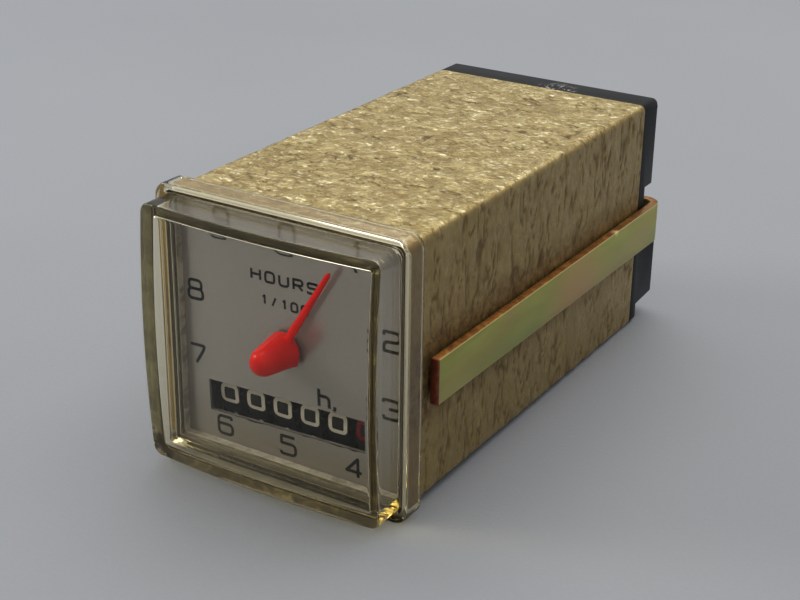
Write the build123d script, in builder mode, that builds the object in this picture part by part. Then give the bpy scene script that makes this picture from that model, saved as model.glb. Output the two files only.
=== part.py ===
from build123d import *
from math import acos, atan2, cos, degrees, hypot, pi, radians, sin
import os

# Panel-mount electromechanical hour meter, all sizes in millimetres.
# X runs to the right of the dial, Z up, and the front looks along -Y. The origin is the centre
# of the bezel flange's rear face, the face that lies against the panel.

# ---- driving dimensions: outside ----
BEZEL_SIDE = 48.0
BEZEL_DEPTH = 4.2
BEZEL_CORNER = 2.5
BEZEL_CHAMFER = 0.4
CASE_SIDE = 45.2
CASE_WALL = 0.6
CASE_CORNER = 1.2
CASE_REAR = 81.5
CASE_LIP = 3.0  # how far the case reaches forward inside the bezel

LENS_SIDE = 44.7
LENS_CORNER = 1.6
LENS_WALL = 2.1
LENS_PANE = 1.8
LENS_FRONT = 11.8  # from the panel plane to the crown of the window
LENS_CROWN = 227.0  # radius of the domed window
SEAL_SIDE = 43.8
SEAL_WIDTH = 1.5

# ---- rear block ----
BLOCK_PLATE = 2.8
BLOCK_UPPER_REAR = 87.3
BLOCK_UPPER_LOW = 5.6
BLOCK_LOWER_REAR = 91.2
BLOCK_LOWER_TOP = -6.1
BLOCK_LOWER_LOW = -18.5
BLOCK_UNDERCUT = 0.7
POCKET_X = 9.0
POCKET_Z = -12.3
POCKET_WIDTH = 12.0
POCKET_HEIGHT = 8.6
BLADE_WIDTH = 6.3
BLADE_THICKNESS = 0.8
BLADE_FRONT = 78.0
BLADE_REAR = 90.9
BLADE_CHAMFER = 1.0
BLADE_HOLE_INSET = 3.6
BLADE_HOLE_RADIUS = 0.8

# ---- clamp ----
STRAP_WIDTH = 7.9
STRAP_THICKNESS = 1.5
STRAP_Z = -1.85
STRAP_HALF_SPAN = 24.55
STRAP_FRONT = 3.6
STRAP_REAR = 89.1
STRAP_BEND = 3.0
SCREW_RADIUS = 1.95
SCREW_BORE = 2.0
SCREW_TIP = 75.0
INSERT_RADIUS = 3.5
INSERT_FRONT = 74.0
BOSS_RADIUS = 5.5
BOSS_FRONT = 71.0
WELL_FRONT = 71.8  # end of the blind well ahead of the insert
WELL_RADIUS = 2.3
CLAMP_HOLE = 2.25
CLAMP_HEAD_FRONT = 89.15
CLAMP_HEAD_RADIUS = 3.5
CLAMP_HEAD_DEPTH = 2.6
SLOT_WIDTH = 0.9
SLOT_DEPTH = 1.0
CLAMP_SLOT_ANGLE = 20.0

# ---- rear screws: face they enter, counterbore depth, height ----
REAR_SCREWS = ((87.3, 2.0, 18.5), (91.2, 4.0, -13.0))
REAR_HEAD_RADIUS = 2.6
REAR_HEAD_DEPTH = 1.8
REAR_SHANK_RADIUS = 1.5
REAR_THREAD = 8.0
REAR_TAP_DEPTH = 9.0
REAR_SLOT_ANGLE = 35.0
HEAD_CLEARANCE = 0.2

# ---- dial and pointer ----
DIAL_SIDE = 43.6
DIAL_FRONT = -1.5
DIAL_THICKNESS = 0.5
DIAL_CORNER = 0.6
WINDOW_WIDTH = 31.0
WINDOW_HEIGHT = 5.5
WINDOW_X = -0.4
WINDOW_Z = -12.05
WINDOW_TILT = 1.9  # degrees anticlockwise, from level
POINTER_ANGLE = 31.3  # degrees clockwise from straight up
POINTER_LENGTH = 18.3
POINTER_ROOT = 2.2
POINTER_TAPER = 87.9
POINTER_THICKNESS = 0.7
BLADE_Y = -3.1
DIAL_HOLE = 1.8
FOOT_X = 16.0
FOOT_Z = 13.0
FOOT_RADIUS = 0.75
HUB_BASE_Y = -2.2
HUB_BASE_RADIUS = 3.3
HUB_TIP_Y = -7.5
HUB_TIP_RADIUS = 2.1
ARBOR_RADIUS = 1.0
ARBOR_FRONT = -7.0
ARBOR_REAR = 27.9
SHOULDER_RADIUS = 2.4
SHOULDER_DEPTH = 0.5
CLUTCH_SPRING_RADIUS = 3.0
CLUTCH_SPRING_DEPTH = 0.4
CLUTCH_COLLAR_DEPTH = 0.8
RUNNING = 0.05  # radial clearance of every turning fit
END_PLAY = 0.1

# ---- movement frame ----
PLATE_SIDE = 42.0
PLATE_THICKNESS = 1.2
PLATE_CORNER = 2.0
FRONT_PLATE_Y = 2.0
FRONT_PLATE_LOW = -3.0
MIDDLE_PLATE_Y = 23.5
MIDDLE_WINDOW = (22.0, 8.0)
MIDDLE_WINDOW_Z = -13.0
MOTOR_PLATE_Y = 37.5
PILLAR_OFFSET = 18.5
PILLAR_RADIUS = 2.0
REAR_PILLAR_RADIUS = 2.2
CHEEK_THICKNESS = 1.0
LEFT_CHEEK_X = -17.0
RIGHT_CHEEK_X = 17.8
CHEEK_LOW = -21.0
CHEEK_TOP = 8.5
BUSH_RADIUS = 2.5
BUSH_FLANGE_RADIUS = 3.5
BUSH_FLANGE = 0.6
BUSH_LENGTH = 2.4
FRAME_SCREW_RADIUS = 1.0
FRAME_SCREW_LENGTH = 7.0
FRAME_HEAD_RADIUS = 2.0
FRAME_HEAD_DEPTH = 1.4
FRAME_SLOT = 0.5
FRAME_SLOT_ANGLE = 50.0

# ---- counter ----
DRUM_COUNT = 6
DRUM_PITCH = 5.4
FIRST_DRUM_X = -13.1
DRUM_RADIUS = 8.3
DRUM_RIM = 4.0
DRUM_Y = 8.55
DRUM_Z = -12.1
RING_WIDTH = 0.6
RING_TEETH = 20
LOCK_WIDTH = 0.5
LOCK_RADIUS = 6.6
LOCK_TOOTH_REACH = 7.2
LOCK_TOOTH_LENGTH = 1.6
TRANSFER_TEETH = 8
TRANSFER_MODULE = 0.74
TRANSFER_WIDTH = 1.0
TRANSFER_GAP = 0.2
DRUM_SHAFT_RADIUS = 1.25
TRANSFER_SHAFT_RADIUS = 0.6
CROSS_TEETH = 29
CROSS_MODULE = 0.6
CROSS_GEAR_X = 16.2
CROSS_Z = 4.8
CROSS_SHAFT_RADIUS = 0.75
CROSS_HOLES = (5.0, 1.9)  # radius of the circle of holes, radius of each hole
TENTHS_BOSS_RADIUS = 3.0

# ---- worm and worm wheel ----
WORM_TEETH = 10
WORM_MODULE = 0.6
WORM_CORE = 1.25
WORM_LENGTH = 6.6
THREAD_TOP = 2.2
THREAD_BASE_WIDTH = 0.62
THREAD_TOP_WIDTH = 0.34
THREAD_TURNS = 3
THREAD_SINK = 0.05  # how far the thread is rooted in the core
WORM_WHEEL_WIDTH = 1.2
WORM_BOSS_RADIUS = 1.55
WORM_BOSS_LENGTH = 2.0

# ---- going train, from the rotor to the pointer ----
FINE_MODULE = 0.3
DRIVE_MODULE = 0.35
ROTOR_TEETH = 8
FIRST_TEETH = (60, 8)
SECOND_TEETH = (60, 12)
THIRD_TEETH = (64, 10)
DRIVE_TEETH = 50
WHEEL_THICKNESS = 1.0
WHEEL_HOLES = (5.2, 2.0)
DRIVE_HOLES = (5.4, 1.6)
HOLE_COUNT = 5
ARBOR_FINE = 0.5
SECOND_REACH = 10.0  # distance of the second arbor from the pointer's axis
PINION_OVERHANG = 0.4
DRIVE_LAYER = 25.5
THIRD_LAYER = 28.4
SECOND_LAYER = 31.0
FIRST_LAYER = 33.6

# ---- motor ----
CAN_RADIUS = 19.0
CAN_REAR = 62.0
CAN_WALL = 0.8
ROTOR_RADIUS = 7.5
ROTOR_SHAFT_RADIUS = 0.75
CAN_FRONT = 38.7
BEARING_RADIUS = 2.2
BEARING_DEPTH = 2.0
BEARING_BLIND = 0.2
STATOR_THICKNESS = 1.0
STATOR_BORE = 1.95
POLE_RADIUS = 8.2
POLE_WALL = 0.8
POLE_COUNT = 12
POLE_GAP = 0.9
POLE_BAND = 4.0  # uncut band at each end of the pole ring
BOBBIN_INNER = 9.3
BOBBIN_OUTER = 17.6
BOBBIN_FRONT = 41.0
BOBBIN_REAR = 59.0
BOBBIN_WALL = 1.0
WINDING_OUTER = 16.8
ROTOR_FRONT = 42.5
ROTOR_REAR = 57.5
ROTOR_PINION_LAYER = 33.2
ROTOR_PINION_LENGTH = 2.2
ROTOR_SHAFT_FRONT = 33.0
ROTOR_SHAFT_REAR = 61.6
WIRE_RADIUS = 0.8
WIRE_BEND = 2.0
WIRE_STRAIGHT = 4.0
WIRE_INSET = 0.8
WIRE_CLEARANCE = 0.3
WIRE_X = 6.0
WIRE_Z = -8.0

# ---- tooth form: shares of one tooth step, and heights in modules ----
TIP_HALF = 0.09
ROOT_HALF = 0.25
ADDENDUM = 0.8
DEDENDUM = 1.0

os.makedirs("parts", exist_ok=True)

case_inside = CASE_SIDE - 2 * CASE_WALL
block_floor = CASE_REAR + BLOCK_PLATE
half_case = CASE_SIDE / 2
middle_rear = MIDDLE_PLATE_Y + PLATE_THICKNESS
motor_rear = MOTOR_PLATE_Y + PLATE_THICKNESS
cross_y = DRUM_Y + ((CROSS_TEETH * CROSS_MODULE) ** 2 - (CROSS_Z - DRUM_Z) ** 2) ** 0.5
transfer_y = DRUM_Y + (RING_TEETH + TRANSFER_TEETH) * TRANSFER_MODULE / 2


def across(y):
    """Plane facing the front at depth y: local x is +X, local y is +Z, and -amount extrudes to +Y."""
    return Plane.XZ.offset(-y)


def upright(x):
    """Plane across the width at x: local x is +Y, local y is +Z, and +amount extrudes to +X."""
    return Plane.YZ.offset(x)


def meshed_tooth(bearing, teeth, first_tooth, other_teeth):
    """First-tooth angle of a gear that meshes with a gear whose centre looks at it along bearing."""
    phase = (bearing - first_tooth) * teeth / 360
    return bearing + 180 - (0.5 - phase) * 360 / other_teeth


def toothed_disc(teeth, module, bore=0.0, first_tooth=0.0, depth=DEDENDUM):
    """Gear outline with straight, thinned flanks; the first tooth's centre is at the given angle."""
    pitch_radius = module * teeth / 2
    root = pitch_radius - depth * module
    tip = pitch_radius + ADDENDUM * module
    corners = ((root, -ROOT_HALF), (tip, -TIP_HALF), (tip, TIP_HALF), (root, ROOT_HALF))
    points = []
    for tooth in range(teeth):
        for radius, share in corners:
            angle = radians(first_tooth + (tooth + share) * 360 / teeth)
            points.append((radius * cos(angle), radius * sin(angle)))
    with BuildSketch() as outline:
        with BuildLine():
            Polyline(*points, close=True)
        make_face()
        if bore:
            Circle(bore, mode=Mode.SUBTRACT)
    return outline.sketch


def wheel_positions(first, second, span_first, span_second):
    """The point at span_first from first and span_second from second, on the left of that line."""
    reach = hypot(second[0] - first[0], second[1] - first[1])
    turn = degrees(acos((span_first**2 + reach**2 - span_second**2) / (2 * span_first * reach)))
    bearing = degrees(atan2(second[1] - first[1], second[0] - first[0])) + turn
    return (first[0] + span_first * cos(radians(bearing)), first[1] + span_first * sin(radians(bearing)))


def bearing_to(first, second):
    return degrees(atan2(second[1] - first[1], second[0] - first[0]))


# ---- case shell: folded sheet sleeve, open at both ends ----
with BuildPart() as case_shell:
    with BuildSketch(across(-CASE_LIP)):
        RectangleRounded(CASE_SIDE, CASE_SIDE, CASE_CORNER)
        RectangleRounded(case_inside, case_inside, CASE_CORNER - CASE_WALL, mode=Mode.SUBTRACT)
    extrude(amount=-(CASE_REAR + CASE_LIP))
case_shell.part.label = "case_shell"
export_step(case_shell.part, "parts/case_shell.step")

# ---- bezel flange: clear ring that stops against the panel ----
with BuildPart() as bezel_flange:
    with BuildSketch(across(-BEZEL_DEPTH)):
        RectangleRounded(BEZEL_SIDE, BEZEL_SIDE, BEZEL_CORNER)
        RectangleRounded(LENS_SIDE, LENS_SIDE, LENS_CORNER, mode=Mode.SUBTRACT)
    extrude(amount=-BEZEL_DEPTH)
    with BuildSketch(across(-CASE_LIP)):
        RectangleRounded(CASE_SIDE, CASE_SIDE, CASE_CORNER)
    extrude(amount=-CASE_LIP, mode=Mode.SUBTRACT)
    rim = bezel_flange.edges().filter_by(GeomType.LINE).group_by(Axis.Y)[0]
    outer = rim.filter_by(lambda edge: max(abs(edge.center().X), abs(edge.center().Z)) > half_case)
    chamfer(outer, BEZEL_CHAMFER)
bezel_flange.part.label = "bezel_flange"
export_step(bezel_flange.part, "parts/bezel_flange.step")

# ---- front lens: clear domed box, open at the back ----
with BuildPart() as lens_cavity:
    with BuildSketch(across(-LENS_FRONT)):
        Rectangle(LENS_SIDE - 2 * LENS_WALL, LENS_SIDE - 2 * LENS_WALL)
    extrude(amount=-(LENS_FRONT - CASE_LIP))
    with Locations((0, LENS_CROWN - LENS_FRONT, 0)):
        Sphere(LENS_CROWN - LENS_PANE, mode=Mode.INTERSECT)

with BuildPart() as front_lens:
    with BuildSketch(across(-LENS_FRONT)):
        RectangleRounded(LENS_SIDE, LENS_SIDE, LENS_CORNER)
    extrude(amount=-(LENS_FRONT - CASE_LIP))
    with Locations((0, LENS_CROWN - LENS_FRONT, 0)):
        Sphere(LENS_CROWN, mode=Mode.INTERSECT)
    add(lens_cavity.part, mode=Mode.SUBTRACT)
front_lens.part.label = "front_lens"
export_step(front_lens.part, "parts/front_lens.step")

# ---- lens seal: thin gasket frame between the lens walls and the dial ----
with BuildPart() as lens_seal:
    with BuildSketch(across(-CASE_LIP)):
        RectangleRounded(SEAL_SIDE, SEAL_SIDE, CASE_CORNER - CASE_WALL)
        Rectangle(SEAL_SIDE - 2 * SEAL_WIDTH, SEAL_SIDE - 2 * SEAL_WIDTH, mode=Mode.SUBTRACT)
    extrude(amount=-(CASE_LIP + DIAL_FRONT))
lens_seal.part.label = "lens_seal"
export_step(lens_seal.part, "parts/lens_seal.step")

# ---- rear block: moulded closing plate with two raised parts and the clamp groove between ----
with BuildPart() as rear_block:
    with BuildSketch(across(CASE_REAR)):
        RectangleRounded(CASE_SIDE, CASE_SIDE, CASE_CORNER)
    extrude(amount=-BLOCK_PLATE)
    with BuildSketch(upright(-half_case)):
        with BuildLine():
            Polyline(
                (CASE_REAR, BLOCK_UPPER_LOW),
                (BLOCK_UPPER_REAR, BLOCK_UPPER_LOW),
                (BLOCK_UPPER_REAR, half_case),
                (CASE_REAR, half_case),
                close=True,
            )
        make_face()
        with BuildLine():
            Polyline(
                (CASE_REAR, BLOCK_LOWER_TOP),
                (BLOCK_LOWER_REAR, BLOCK_LOWER_TOP),
                (BLOCK_LOWER_REAR, BLOCK_LOWER_LOW),
                (CASE_REAR, BLOCK_LOWER_LOW - BLOCK_UNDERCUT),
                close=True,
            )
        make_face()
    extrude(amount=CASE_SIDE)
    lengthwise = rear_block.edges().filter_by(Axis.Y)
    fillet(lengthwise.filter_by(lambda edge: edge.center().Z > half_case - CASE_CORNER), CASE_CORNER)
    with BuildSketch(across(BOSS_FRONT)):
        with Locations((0, STRAP_Z)):
            Circle(BOSS_RADIUS)
    extrude(amount=-(CASE_REAR - BOSS_FRONT))
    with BuildSketch(across(BLOCK_LOWER_REAR)):
        with Locations((-POCKET_X, POCKET_Z), (POCKET_X, POCKET_Z)):
            Rectangle(POCKET_WIDTH, POCKET_HEIGHT)
    extrude(amount=BLOCK_LOWER_REAR - block_floor, mode=Mode.SUBTRACT)
    with BuildSketch(across(block_floor)):
        with Locations((-POCKET_X, POCKET_Z), (POCKET_X, POCKET_Z)):
            Rectangle(BLADE_THICKNESS, BLADE_WIDTH)
    extrude(amount=BLOCK_PLATE, mode=Mode.SUBTRACT)
    with BuildSketch(across(block_floor)):
        with Locations((0, STRAP_Z)):
            Circle(INSERT_RADIUS)
    extrude(amount=block_floor - INSERT_FRONT, mode=Mode.SUBTRACT)
    with BuildSketch(across(INSERT_FRONT)):
        with Locations((0, STRAP_Z)):
            Circle(WELL_RADIUS)
    extrude(amount=INSERT_FRONT - WELL_FRONT, mode=Mode.SUBTRACT)
    for rear, depth, height in REAR_SCREWS:
        with BuildSketch(across(rear)):
            with Locations((-PILLAR_OFFSET, height), (PILLAR_OFFSET, height)):
                Circle(REAR_HEAD_RADIUS + HEAD_CLEARANCE)
        extrude(amount=depth, mode=Mode.SUBTRACT)
        with BuildSketch(across(rear)):
            with Locations((-PILLAR_OFFSET, height), (PILLAR_OFFSET, height)):
                Circle(REAR_SHANK_RADIUS)
        extrude(amount=rear - CASE_REAR, mode=Mode.SUBTRACT)
rear_block.part.label = "rear_block"
export_step(rear_block.part, "parts/rear_block.step")

# ---- rear screws: four long screws that pull the rear block onto the pillars ----
with BuildPart() as rear_screws:
    for rear, depth, height in REAR_SCREWS:
        with BuildSketch(across(rear - depth)):
            with Locations((-PILLAR_OFFSET, height), (PILLAR_OFFSET, height)):
                Circle(REAR_HEAD_RADIUS)
        extrude(amount=-REAR_HEAD_DEPTH)
        with BuildSketch(across(CASE_REAR - REAR_THREAD)):
            with Locations((-PILLAR_OFFSET, height), (PILLAR_OFFSET, height)):
                Circle(REAR_SHANK_RADIUS)
        extrude(amount=-(rear - depth - CASE_REAR + REAR_THREAD))
        with BuildSketch(across(rear - depth + REAR_HEAD_DEPTH)):
            with Locations((-PILLAR_OFFSET, height), (PILLAR_OFFSET, height)):
                Rectangle(2 * REAR_HEAD_RADIUS, SLOT_WIDTH, rotation=REAR_SLOT_ANGLE)
        extrude(amount=SLOT_DEPTH, mode=Mode.SUBTRACT)
rear_screws.part.label = "rear_screws"
export_step(rear_screws.part, "parts/rear_screws.step")

# ---- threaded insert: brass sleeve that takes the clamp screw; the thread is left plain ----
with BuildPart() as threaded_insert:
    with BuildSketch(across(INSERT_FRONT)):
        with Locations((0, STRAP_Z)):
            Circle(INSERT_RADIUS)
            Circle(SCREW_BORE, mode=Mode.SUBTRACT)
    extrude(amount=-(block_floor - INSERT_FRONT))
threaded_insert.part.label = "threaded_insert"
export_step(threaded_insert.part, "parts/threaded_insert.step")

# ---- terminal blades: two upright push-on tabs, one in each pocket ----
with BuildPart() as terminal_blades:
    with BuildSketch(across(BLADE_FRONT)):
        with Locations((-POCKET_X, POCKET_Z), (POCKET_X, POCKET_Z)):
            Rectangle(BLADE_THICKNESS, BLADE_WIDTH)
    extrude(amount=-(BLADE_REAR - BLADE_FRONT))
    tips = terminal_blades.edges().filter_by(Axis.X).group_by(Axis.Y)[-1]
    chamfer(tips, BLADE_CHAMFER)
    with BuildSketch(upright(-POCKET_X - POCKET_WIDTH)):
        with Locations((BLADE_REAR - BLADE_HOLE_INSET, POCKET_Z)):
            Circle(BLADE_HOLE_RADIUS)
    extrude(amount=2 * (POCKET_X + POCKET_WIDTH), mode=Mode.SUBTRACT)
terminal_blades.part.label = "terminal_blades"
export_step(terminal_blades.part, "parts/terminal_blades.step")

# ---- clamp bracket: U-shaped strap round the case, with a clearance hole for its screw ----
with BuildPart() as clamp_bracket:
    with BuildSketch(Plane.XY.offset(STRAP_Z - STRAP_WIDTH / 2)) as strap:
        with Locations((0, (STRAP_FRONT + STRAP_REAR) / 2)):
            Rectangle(2 * STRAP_HALF_SPAN, STRAP_REAR - STRAP_FRONT)
        fillet(strap.vertices().group_by(Axis.Y)[-1], STRAP_BEND)
    extrude(amount=STRAP_WIDTH)
    with BuildSketch(Plane.XY.offset(STRAP_Z - STRAP_WIDTH / 2)) as strap_inside:
        with Locations((0, (STRAP_FRONT + STRAP_REAR) / 2 - STRAP_THICKNESS)):
            Rectangle(2 * (STRAP_HALF_SPAN - STRAP_THICKNESS), STRAP_REAR - STRAP_FRONT)
        fillet(strap_inside.vertices().group_by(Axis.Y)[-1], STRAP_BEND - STRAP_THICKNESS)
    extrude(amount=STRAP_WIDTH, mode=Mode.SUBTRACT)
    with BuildSketch(across(STRAP_REAR)):
        with Locations((0, STRAP_Z)):
            Circle(CLAMP_HOLE)
    extrude(amount=STRAP_THICKNESS, mode=Mode.SUBTRACT)
clamp_bracket.part.label = "clamp_bracket"
export_step(clamp_bracket.part, "parts/clamp_bracket.step")

# ---- clamp screw: slotted cheese head, shank through the strap into the insert ----
with BuildPart() as clamp_screw:
    with BuildSketch(across(CLAMP_HEAD_FRONT)):
        with Locations((0, STRAP_Z)):
            Circle(CLAMP_HEAD_RADIUS)
    extrude(amount=-CLAMP_HEAD_DEPTH)
    with BuildSketch(across(SCREW_TIP)):
        with Locations((0, STRAP_Z)):
            Circle(SCREW_RADIUS)
    extrude(amount=-(CLAMP_HEAD_FRONT - SCREW_TIP))
    with BuildSketch(across(CLAMP_HEAD_FRONT + CLAMP_HEAD_DEPTH)):
        with Locations((0, STRAP_Z)):
            Rectangle(2 * CLAMP_HEAD_RADIUS, SLOT_WIDTH, rotation=CLAMP_SLOT_ANGLE)
    extrude(amount=SLOT_DEPTH, mode=Mode.SUBTRACT)
clamp_screw.part.label = "clamp_screw"
export_step(clamp_screw.part, "parts/clamp_screw.step")

# ---- dial plate: thin sheet with the counter window and two riveted feet ----
with BuildPart() as dial_plate:
    with BuildSketch(across(DIAL_FRONT)):
        RectangleRounded(DIAL_SIDE, DIAL_SIDE, DIAL_CORNER)
        with Locations((WINDOW_X, WINDOW_Z)):
            Rectangle(WINDOW_WIDTH, WINDOW_HEIGHT, rotation=WINDOW_TILT, mode=Mode.SUBTRACT)
        Circle(DIAL_HOLE, mode=Mode.SUBTRACT)
    extrude(amount=-DIAL_THICKNESS)
    with BuildSketch(across(DIAL_FRONT + DIAL_THICKNESS)):
        with Locations((-FOOT_X, FOOT_Z), (FOOT_X, FOOT_Z)):
            Circle(FOOT_RADIUS)
    extrude(amount=-(FRONT_PLATE_Y + PLATE_THICKNESS - DIAL_FRONT - DIAL_THICKNESS))
dial_plate.part.label = "dial_plate"
export_step(dial_plate.part, "parts/dial_plate.step")

# ---- pointer: one red moulding, a round-nosed cone with a tapering blade ----
with BuildPart() as pointer:
    with BuildSketch(Plane.XY):
        with BuildLine():
            Line((0, HUB_BASE_Y), (HUB_BASE_RADIUS, HUB_BASE_Y))
            Line((HUB_BASE_RADIUS, HUB_BASE_Y), (HUB_TIP_RADIUS, HUB_TIP_Y))
            ThreePointArc(
                (HUB_TIP_RADIUS, HUB_TIP_Y),
                (HUB_TIP_RADIUS * sin(pi / 4), HUB_TIP_Y - HUB_TIP_RADIUS * cos(pi / 4)),
                (0, HUB_TIP_Y - HUB_TIP_RADIUS),
            )
            Line((0, HUB_TIP_Y - HUB_TIP_RADIUS), (0, HUB_BASE_Y))
        make_face()
    revolve(axis=Axis.Y)
    with BuildSketch(across(BLADE_Y)):
        with Locations(Rotation(0, 0, -POINTER_ANGLE)):
            with Locations((0, POINTER_LENGTH / 2)):
                Trapezoid(POINTER_ROOT, POINTER_LENGTH, POINTER_TAPER)
    extrude(amount=-POINTER_THICKNESS)
    with BuildSketch(across(ARBOR_FRONT)):
        Circle(ARBOR_RADIUS)
    extrude(amount=-(HUB_BASE_Y - ARBOR_FRONT), mode=Mode.SUBTRACT)
pointer.part.label = "pointer"
export_step(pointer.part, "parts/pointer.step")

# ---- pointer arbor: long spindle with the shoulder that the drive wheel is pressed against ----
with BuildPart() as pointer_arbor:
    with BuildSketch(across(ARBOR_FRONT)):
        Circle(ARBOR_RADIUS)
    extrude(amount=-(ARBOR_REAR - ARBOR_FRONT))
    with BuildSketch(across(DRIVE_LAYER - END_PLAY - SHOULDER_DEPTH)):
        Circle(SHOULDER_RADIUS)
    extrude(amount=-SHOULDER_DEPTH)
pointer_arbor.part.label = "pointer_arbor"
export_step(pointer_arbor.part, "parts/pointer_arbor.step")

# ---- slip clutch: spring washer and collar that press the drive wheel against the shoulder ----
spring_front = DRIVE_LAYER + WHEEL_THICKNESS + END_PLAY
with BuildPart() as clutch_spring:
    with BuildSketch(across(spring_front)):
        Circle(CLUTCH_SPRING_RADIUS)
        Circle(ARBOR_RADIUS, mode=Mode.SUBTRACT)
    extrude(amount=-CLUTCH_SPRING_DEPTH)
clutch_spring.part.label = "clutch_spring"
export_step(clutch_spring.part, "parts/clutch_spring.step")

with BuildPart() as clutch_collar:
    with BuildSketch(across(spring_front + CLUTCH_SPRING_DEPTH)):
        Circle(SHOULDER_RADIUS)
        Circle(ARBOR_RADIUS, mode=Mode.SUBTRACT)
    extrude(amount=-CLUTCH_COLLAR_DEPTH)
clutch_collar.part.label = "clutch_collar"
export_step(clutch_collar.part, "parts/clutch_collar.step")

# ---- worm: left-hand single thread on a sleeve, pressed on the pointer arbor ----
worm_pitch = pi * WORM_MODULE
worm_start = cross_y - worm_pitch * THREAD_TURNS / 2
thread_root = WORM_CORE - THREAD_SINK
thread_depth = THREAD_TOP - thread_root
with BuildPart() as worm:
    with BuildLine() as thread_path:
        Helix(
            worm_pitch,
            worm_pitch * THREAD_TURNS,
            thread_root,
            center=(0, worm_start, 0),
            direction=(0, 1, 0),
            lefthand=True,
        )
    with BuildSketch(Plane(thread_path.line @ 0, x_dir=(0, 0, 1), z_dir=thread_path.line % 0)):
        with BuildLine():
            Polyline(
                (0, -THREAD_BASE_WIDTH / 2),
                (thread_depth, -THREAD_TOP_WIDTH / 2),
                (thread_depth, THREAD_TOP_WIDTH / 2),
                (0, THREAD_BASE_WIDTH / 2),
                close=True,
            )
        make_face()
    sweep(path=thread_path.line, is_frenet=True)
    with BuildSketch(across(cross_y - WORM_LENGTH / 2)):
        Circle(WORM_CORE)
        Circle(ARBOR_RADIUS, mode=Mode.SUBTRACT)
    extrude(amount=-WORM_LENGTH)
worm.part.label = "worm"
export_step(worm.part, "parts/worm.step")

# ---- positions of the going train's arbors, as (x, z) ----
drive_span = (THIRD_TEETH[1] + DRIVE_TEETH) * DRIVE_MODULE / 2
third_span = (SECOND_TEETH[1] + THIRD_TEETH[0]) * FINE_MODULE / 2
second_span = (FIRST_TEETH[1] + SECOND_TEETH[0]) * FINE_MODULE / 2
first_span = (ROTOR_TEETH + FIRST_TEETH[0]) * FINE_MODULE / 2
pointer_axis = (0.0, 0.0)
third_axis = (drive_span * cos(pi / 4), drive_span * sin(pi / 4))
second_axis = wheel_positions(pointer_axis, third_axis, SECOND_REACH, third_span)
first_axis = wheel_positions(pointer_axis, second_axis, first_span, second_span)
train_axes = (first_axis, second_axis, third_axis)

# ---- front plate: carries the dial and the pointer bush, cut short above the counter ----
front_plate_top = PLATE_SIDE / 2
with BuildPart() as front_plate:
    with BuildSketch(across(FRONT_PLATE_Y)):
        with Locations((0, (front_plate_top + FRONT_PLATE_LOW) / 2)):
            RectangleRounded(PLATE_SIDE, front_plate_top - FRONT_PLATE_LOW, PLATE_CORNER)
        Circle(BUSH_RADIUS, mode=Mode.SUBTRACT)
        with Locations((-FOOT_X, FOOT_Z), (FOOT_X, FOOT_Z)):
            Circle(FOOT_RADIUS, mode=Mode.SUBTRACT)
        with Locations((-PILLAR_OFFSET, PILLAR_OFFSET), (PILLAR_OFFSET, PILLAR_OFFSET)):
            Circle(FRAME_SCREW_RADIUS, mode=Mode.SUBTRACT)
    extrude(amount=-PLATE_THICKNESS)
front_plate.part.label = "front_plate"
export_step(front_plate.part, "parts/front_plate.step")

# ---- middle plate: pivots of the going train and rear bearing of the pointer arbor ----
with BuildPart() as middle_plate:
    with BuildSketch(across(MIDDLE_PLATE_Y)):
        RectangleRounded(PLATE_SIDE, PLATE_SIDE, PLATE_CORNER)
        Circle(ARBOR_RADIUS + RUNNING, mode=Mode.SUBTRACT)
        with Locations(*train_axes):
            Circle(ARBOR_FINE + RUNNING, mode=Mode.SUBTRACT)
        with Locations((0, MIDDLE_WINDOW_Z)):
            RectangleRounded(*MIDDLE_WINDOW, PLATE_CORNER, mode=Mode.SUBTRACT)
    extrude(amount=-PLATE_THICKNESS)
middle_plate.part.label = "middle_plate"
export_step(middle_plate.part, "parts/middle_plate.step")

# ---- motor plate: rear pivots of the going train, front bearing of the rotor ----
with BuildPart() as motor_plate:
    with BuildSketch(across(MOTOR_PLATE_Y)):
        RectangleRounded(PLATE_SIDE, PLATE_SIDE, PLATE_CORNER)
        Circle(ROTOR_SHAFT_RADIUS + RUNNING, mode=Mode.SUBTRACT)
        with Locations(*train_axes):
            Circle(ARBOR_FINE + RUNNING, mode=Mode.SUBTRACT)
    extrude(amount=-PLATE_THICKNESS)
motor_plate.part.label = "motor_plate"
export_step(motor_plate.part, "parts/motor_plate.step")

# ---- frame pillars: two at the front, four round the going train ----
with BuildPart() as frame_pillars:
    with BuildSketch(across(FRONT_PLATE_Y + PLATE_THICKNESS)):
        with Locations((-PILLAR_OFFSET, PILLAR_OFFSET), (PILLAR_OFFSET, PILLAR_OFFSET)):
            Circle(PILLAR_RADIUS)
            Circle(FRAME_SCREW_RADIUS, mode=Mode.SUBTRACT)
    extrude(amount=-(MIDDLE_PLATE_Y - FRONT_PLATE_Y - PLATE_THICKNESS))
    with BuildSketch(across(middle_rear)):
        with GridLocations(2 * PILLAR_OFFSET, 2 * PILLAR_OFFSET, 2, 2):
            Circle(PILLAR_RADIUS)
    extrude(amount=-(MOTOR_PLATE_Y - middle_rear))
frame_pillars.part.label = "frame_pillars"
export_step(frame_pillars.part, "parts/frame_pillars.step")

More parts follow.
